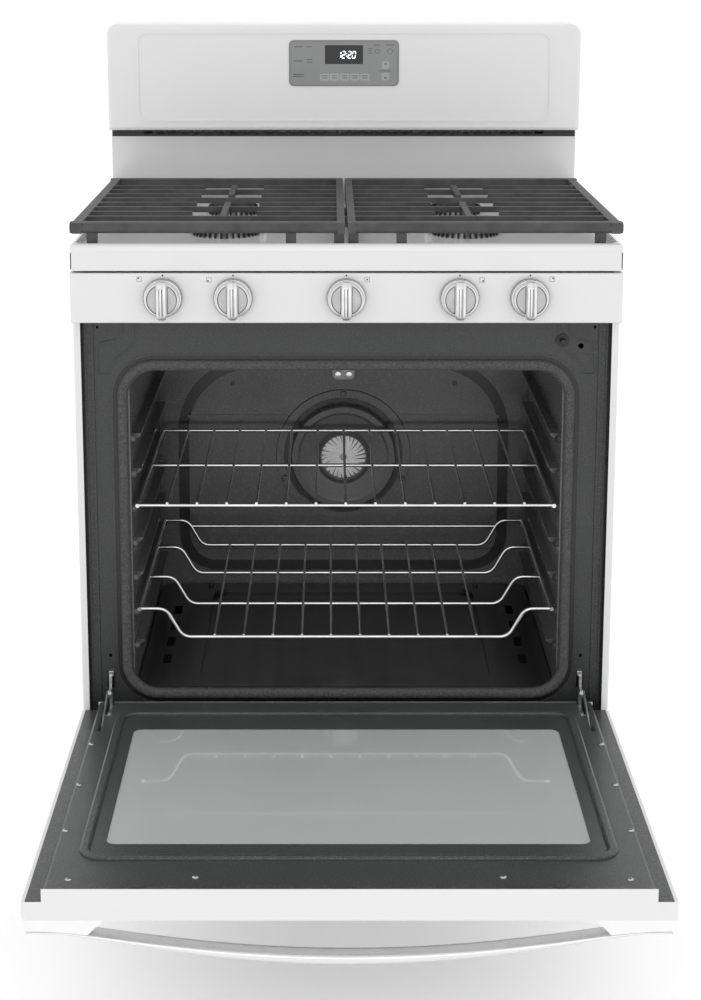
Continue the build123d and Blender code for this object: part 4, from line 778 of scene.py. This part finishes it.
def make_fan_details():
    """Painted shade in the cover's pressed groove and along a line on it, painted shade in the openings
    between the wheel's bright vanes, and its nut.
    """
    wall = back_wall()
    hub = centre("fan_wheel")
    # Painted shade in the cover's pressed groove
    groove = [(0.0888, -0.0014), (0.0966, -0.0014), (0.0966, -0.0013), (0.0888, -0.0013), (0.0888, -0.0014)]
    add_piece("cover_groove_shade", *lathe(groove, (0, wall, hub.z), 96), ROOT, "shadow_enamel", "grey_enamel",
              smooth=False)
    # Painted shade along a line on the cover
    line = [(0.0742, -0.0166), (0.0752, -0.0172), (0.0752, -0.0171), (0.0742, -0.0165), (0.0742, -0.0166)]
    add_piece("cover_line_shade", *lathe(line, (0, wall, hub.z), 96), ROOT, "shadow_enamel", "grey_enamel",
              smooth=False)
    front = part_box("fan_wheel")[0][1]
    blade_y = front + 0.0042
    vanes, gaps = [], []
    count = 28
    for k in range(count):
        turn = 2 * math.pi * k / count
        reach = 0.0345 if k % 2 else 0.0362
        start = 0.0115 + 0.004 * (k % 3)
        vanes.append(vane(hub, blade_y, turn, start, reach))
        # Painted shade in the opening between this blade and the next
        between = turn + 0.5 * math.pi / count
        gaps.append(wedge(hub, blade_y - 0.0004, between, start + 0.007, 0.0366, 0.00055))
    disc = lathe([(0.0365, 0.0006), (0.0365, 0.0), (0.0002, -0.0008)], (hub.x, blade_y, hub.z), 72)
    add_piece("fan_vanes", *join_lists(vanes + [disc]), "fan_wheel", "bright_vane", "aluminium_casting")
    add_piece("fan_gap_shade", *join_lists(gaps), "fan_wheel", "black_plastic", "aluminium_casting", smooth=False)
    dark = lathe([(0.0062, 0.0), (0.0062, -0.0036), (0.0050, -0.0042), (0.0034, -0.0042), (0.0030, -0.0034)],
                 (hub.x, blade_y, hub.z), 32)
    tip = lathe([(0.0030, -0.0030), (0.0030, -0.0040), (0.0020, -0.0042), (0.0002, -0.0042)],
                (hub.x, blade_y, hub.z), 24)
    add_piece("fan_nut", *dark, "fan_wheel", "black_plastic", "aluminium_casting")
    add_piece("fan_shaft_tip", *tip, "fan_wheel", "chrome_wire", "aluminium_casting")


def vane(hub, y, turn, start, reach):
    """Twisted blade standing on the wheel."""
    verts = []
    for share in (0.0, 0.5, 1.0):
        radius = start + (reach - start) * share
        bend = turn + 0.10 * share
        for side in (-1, 1):
            for depth in (0.0, -0.0022 - 0.0010 * share):
                angle = bend + side * 0.0005 / radius
                verts.append((hub.x + radius * math.cos(angle), y + depth, hub.z + radius * math.sin(angle)))
    faces = []
    for k in (0, 4):
        faces += [(k, k + 1, k + 5, k + 4), (k + 3, k + 2, k + 6, k + 7), (k + 1, k + 3, k + 7, k + 5),
                  (k, k + 4, k + 6, k + 2)]
    faces += [(0, 2, 3, 1), (8, 9, 11, 10)]
    return verts, faces


def wedge(hub, y, turn, start, reach, half):
    """Thin near-black sheet of painted shade in the opening beside a blade, wider at the rim."""
    points = []
    corners = ((start, 0.3 * half), (reach, 1.6 * half), (reach, -1.6 * half), (start, -0.3 * half))
    for radius, width in corners:
        angle = turn + 0.10 * (radius - start) / (reach - start) + width / radius
        points.append((hub.x + radius * math.cos(angle), hub.z + radius * math.sin(angle)))
    return prism(points, y - 0.0001, y + 0.0002)


# ------------------------------------------------------------------ screws
def screw(place, radius, height):
    """Upward pan head and its cross recess."""
    profile = [(radius, 0.0), (radius, 0.25 * height), (0.90 * radius, 0.62 * height),
               (0.66 * radius, 0.90 * height),
               (0.34 * radius, height), (0.0001, height)]
    verts, faces = lathe([(r, -h) for r, h in profile], (0, 0, 0), 28)
    cross = []
    for wide, long in ((0.13, 0.52), (0.52, 0.13)):
        bar = rounded(-wide * radius, wide * radius, -long * radius, long * radius, 0.08 * radius, 2)
        cross.append(prism(bar, -height - 0.00008, -height + 0.0002))
    cross = join_lists(cross)
    turned = [[(x, z, -y) for x, y, z in shape] for shape in (verts, cross[0])]
    moved = [[(place.x + x, place.y + y, place.z + z) for x, y, z in shape] for shape in turned]
    return (moved[0], faces), (moved[1], cross[1])


def make_cover_screws():
    """Painted shade in the recesses and slots of the fan cover's screws, in two holes in the wall and along
    its two faint creases.
    """
    wall = back_wall()
    hub = centre("fan_wheel")
    rings = []
    for angle in COVER_SCREW_ANGLES:
        x = hub.x + COVER_SCREW_CIRCLE * math.sin(math.radians(angle))
        z = hub.z + COVER_SCREW_CIRCLE * math.cos(math.radians(angle))
        # Painted shade in the screw's recess and slot
        rings.append(lathe([(0.0058, -0.0031), (0.0058, -0.0034), (0.0037, -0.0034), (0.0037, -0.0031),
                            (0.0058, -0.0031)], (x, wall, z), 24))
        slot = rounded(x - 0.0026, x + 0.0026, z - 0.0005, z + 0.0005, 0.0003, 2)
        rings.append(prism(slot, wall - 0.0057, wall - 0.0053))
    # Painted shade in the two holes in the wall
    for x in (-WALL_HOLE_X, WALL_HOLE_X):
        hole = [(0.0042, 0.0), (0.0042, -0.0006), (0.0003, -0.0006)]
        rings.append(lathe(hole, (x, wall, WALL_HOLE_Z), 20))
    add_piece("cover_screw_shade", *join_lists(rings), ROOT, "shadow_enamel", "grey_enamel", smooth=False)
    creases = []
    # Painted shade along the two creases
    for low, high in (UPPER_CREASE, LOWER_CREASE):
        outline = [(-CREASE_HALF, low), (CREASE_HALF, low), (CREASE_HALF, high), (-CREASE_HALF, high)]
        creases.append(prism(outline, wall - 0.0003, wall + 0.0003))
    add_piece("wall_crease_shade", *join_lists(creases), ROOT, "shadow_enamel", "grey_enamel", smooth=False)


def make_burner_slots():
    """Painted shade in the flame ports round each burner head."""
    ports = []
    for middle, size in islands("burner_heads"):
        radius = size.x / 2
        count = max(18, round(2 * math.pi * radius / 0.0088))
        for k in range(count):
            turn = 2 * math.pi * k / count
            ports.append(port(middle, size, radius, turn))
    # Black blocks of painted shade in the flame ports
    add_piece("burner_port_shade", *join_lists(ports), ROOT, "black_plastic", "aluminium_casting", smooth=False)


def port(middle, size, radius, turn):
    """Upright dark block of painted shade at a port on the head's side, a hair outside it."""
    side = Vector((-math.sin(turn), math.cos(turn), 0))
    out = Vector((math.cos(turn), math.sin(turn), 0))
    top = middle.z + size.z * 0.44
    low = middle.z - size.z * 0.05
    verts = []
    for depth in (-0.0030, 0.0002):
        for z in (low, top):
            for half in (-0.0014, 0.0014):
                place = Vector((middle.x, middle.y, z)) + out * (radius + depth) + side * half
                verts.append(tuple(place))
    faces = [(0, 1, 3, 2), (4, 6, 7, 5), (0, 4, 5, 1), (2, 3, 7, 6), (0, 2, 6, 4), (1, 5, 7, 3)]
    return verts, faces


def make_hinge_marks():
    """Bright hook ends of the hinge arms where they pass through the face."""
    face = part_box("front_frame")[0][1]
    blocks = []
    for side in (-1, 1):
        x = side * HINGE_X
        outline = rounded(x - 0.0036, x + 0.0036, *HINGE_HOOK_Z, 0.0012, 3)
        blocks.append(prism(outline, face - 0.0015, face + 0.004))
    add_piece("hinge_hooks", *join_lists(blocks), ROOT, "chrome_wire", "galvanised_steel", bevel=0.0006)


def make_lamp_glints():
    """Two contacts of the lamp seen through its glass."""
    low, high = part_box("oven_lamp_lens")
    spots = []
    for x in (-0.009, 0.009):
        spots.append(lathe([(0.0045, 0.0), (0.0045, -0.0008), (0.0032, -0.0012), (0.0003, -0.0012)],
                           ((low[0] + high[0]) / 2 + x, low[1], low[2] + 0.010), 24))
    add_piece("lamp_contacts", *join_lists(spots), ROOT, "chrome_wire", "clear_glass")


def make_door_screws():
    heads, recesses = [], []
    for middle, size in islands("door_screws"):
        place = Vector((middle.x, middle.y, middle.z - size.z / 2))
        head, cross = screw(place, size.x / 2, size.z * 0.97)
        heads.append(head)
        recesses.append(cross)
    add_piece("door_screw_heads", *join_lists(heads), "door", "stainless_steel", replaces=["door_screws"])
    # Painted shade: black cross standing for the shade in each screw's recess
    add_piece("door_screw_recess_shade", *join_lists(recesses), "door", "black_plastic", "stainless_steel",
              smooth=False)


# ------------------------------------------------------------------ door handle
def rise_at(share):
    """How far the bow stands out, 0 at the ends and 1 in the middle, for a place from 0 to 1 along a half."""
    marks = ((0.0, 0.0), (0.08, 0.02), (0.20, 0.17), (0.37, 0.46), (0.65, 0.83), (1.0, 1.0))
    slopes = (0.0, 0.45, 1.45, 1.55, 0.95, 0.0)
    for k in range(len(marks) - 1):
        (x0, y0), (x1, y1) = marks[k], marks[k + 1]
        if share <= x1:
            t = (share - x0) / (x1 - x0)
            span_x = x1 - x0
            return ((2 * t**3 - 3 * t**2 + 1) * y0 + (t**3 - 2 * t**2 + t) * span_x * slopes[k]
                    + (3 * t**2 - 2 * t**3) * y1 + (t**3 - t**2) * span_x * slopes[k + 1])
    return 1.0


def make_handle():
    """Satin bar of changing thickness, oval in section."""
    low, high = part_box("door_handle")
    half_length = (high[0] - low[0]) / 2
    mid_x = (high[0] + low[0]) / 2
    mid_y = (high[1] + low[1]) / 2
    depth = (high[1] - low[1]) / 2
    end_thickness, mid_thickness = 0.0046, 0.014
    drop = (high[2] - low[2]) - end_thickness
    verts, faces = [], []
    along, around = 96, 28
    for k in range(along + 1):
        share = 2 * k / along
        rise = rise_at(share if share <= 1 else 2 - share)
        bottom = high[2] - end_thickness - drop * rise
        thick = end_thickness + (mid_thickness - end_thickness) * rise
        x = mid_x - half_length + (high[0] - low[0]) * k / along
        for j in range(around):
            turn = 2 * math.pi * j / around
            c, s = math.cos(turn), math.sin(turn)
            y = mid_y + depth * math.copysign(abs(c) ** 0.72, c)
            z = bottom + thick / 2 + thick / 2 * math.copysign(abs(s) ** 0.72, s)
            verts.append((x, y, z))
    for k in range(along):
        for j in range(around):
            a, b = k * around + j, k * around + (j + 1) % around
            faces.append((a, b, b + around, a + around))
    faces.append(tuple(range(around - 1, -1, -1)))
    faces.append(tuple(range(along * around, (along + 1) * around)))
    add_piece("handle_bar", verts, faces, "door", "handle_steel", "stainless_steel", ["door_handle"])


# ------------------------------------------------------------------ soft edges on the CAD nodes
def soften_nodes():
    """Small rounded edges on castings, panels and mouldings."""
    widths = {"grate_right": 0.0028, "grate_left": 0.0028, "burner_caps": 0.0008, "burner_heads": 0.0004,
              "cooktop": 0.0008, "control_panel": 0.0005, "handle_end_caps": 0.0014, "door_shell": 0.0007,
              "drawer_front": 0.0007, "console_shell": 0.0006, "control_overlay": 0.0003,
              "side_panel_right": 0.0004, "side_panel_left": 0.0004, "backguard": 0.0004,
              "fan_cover": 0.0004, "oven_bottom_panel": 0.0008}
    for name, width in widths.items():
        round_edges(frame["nodes"][name], width)


make_knobs()
make_panel_marks()
make_clock()
make_keys()
make_gasket()
make_wall_groove()
make_fan_details()
make_cover_screws()
make_burner_slots()
make_hinge_marks()
make_lamp_glints()
make_door_screws()
make_handle()
soften_nodes()


# ------------------------------------------------------------------ camera, lights and floor
CAMERA_BACK = 2.655
CAMERA_HEIGHT = 1.311
CAMERA_SIDE = -0.0233
CAMERA_TILT = 11.59
CAMERA_LENS = 70.67
CAMERA_SHIFT = (0.0211, -0.15)


def front_plane():
    """Y of the control panel's face."""
    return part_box("control_panel")[0].y


def make_camera():
    camera = bpy.data.cameras.new("photo_camera")
    camera.lens = CAMERA_LENS
    camera.sensor_width = 36
    camera.shift_x, camera.shift_y = CAMERA_SHIFT
    holder = bpy.data.objects.new("photo_camera", camera)
    bpy.context.scene.collection.objects.link(holder)
    holder.location = (CAMERA_SIDE, front_plane() - CAMERA_BACK, CAMERA_HEIGHT)
    holder.rotation_euler = (math.radians(90 - CAMERA_TILT), 0, 0)
    bpy.context.scene.camera = holder


def area_light(name, place, target, size, power):
    light = bpy.data.lights.new(name, "AREA")
    light.shape = "RECTANGLE"
    light.size, light.size_y = size
    light.energy = power
    holder = bpy.data.objects.new(name, light)
    bpy.context.scene.collection.objects.link(holder)
    holder.location = place
    holder.rotation_euler = (Vector(target) - Vector(place)).to_track_quat("-Z", "Y").to_euler()


def make_studio():
    """White surroundings, a pale floor that glows a little, and one soft light in front."""
    world = bpy.data.worlds.new("studio")
    bpy.context.scene.world = world
    world.use_nodes = True
    world.node_tree.nodes["Background"].inputs["Color"].default_value = (1, 1, 1, 1)
    world.node_tree.nodes["Background"].inputs["Strength"].default_value = 1.0
    floor_mesh = bpy.data.meshes.new("floor")
    corners = [(x * FLOOR_HALF, y * FLOOR_HALF, 0) for x, y in ((-1, -1), (1, -1), (1, 1), (-1, 1))]
    floor_mesh.from_pydata(corners, [], [(0, 1, 2, 3)])
    floor = bpy.data.objects.new("floor", floor_mesh)
    bpy.context.scene.collection.objects.link(floor)
    material, tree, shader = new_material("floor")
    tone = ramp(tree, noise(tree, 2, 2), [(0.3, 0.90), (0.7, 0.92)])
    tree.links.new(tone, shader.inputs["Base Color"])
    shader.inputs["Roughness"].default_value = 0.6
    shader.inputs["Emission Color"].default_value = (1, 1, 1, 1)
    shader.inputs["Emission Strength"].default_value = FLOOR_GLOW
    floor_mesh.materials.append(material)
    bpy.context.scene.view_settings.view_transform = "Standard"
    area_light("front_fill", (0.0, -3.6, 1.7), (0, 0, 0.6), (1.6, 1.2), 8)


make_camera()
make_studio()
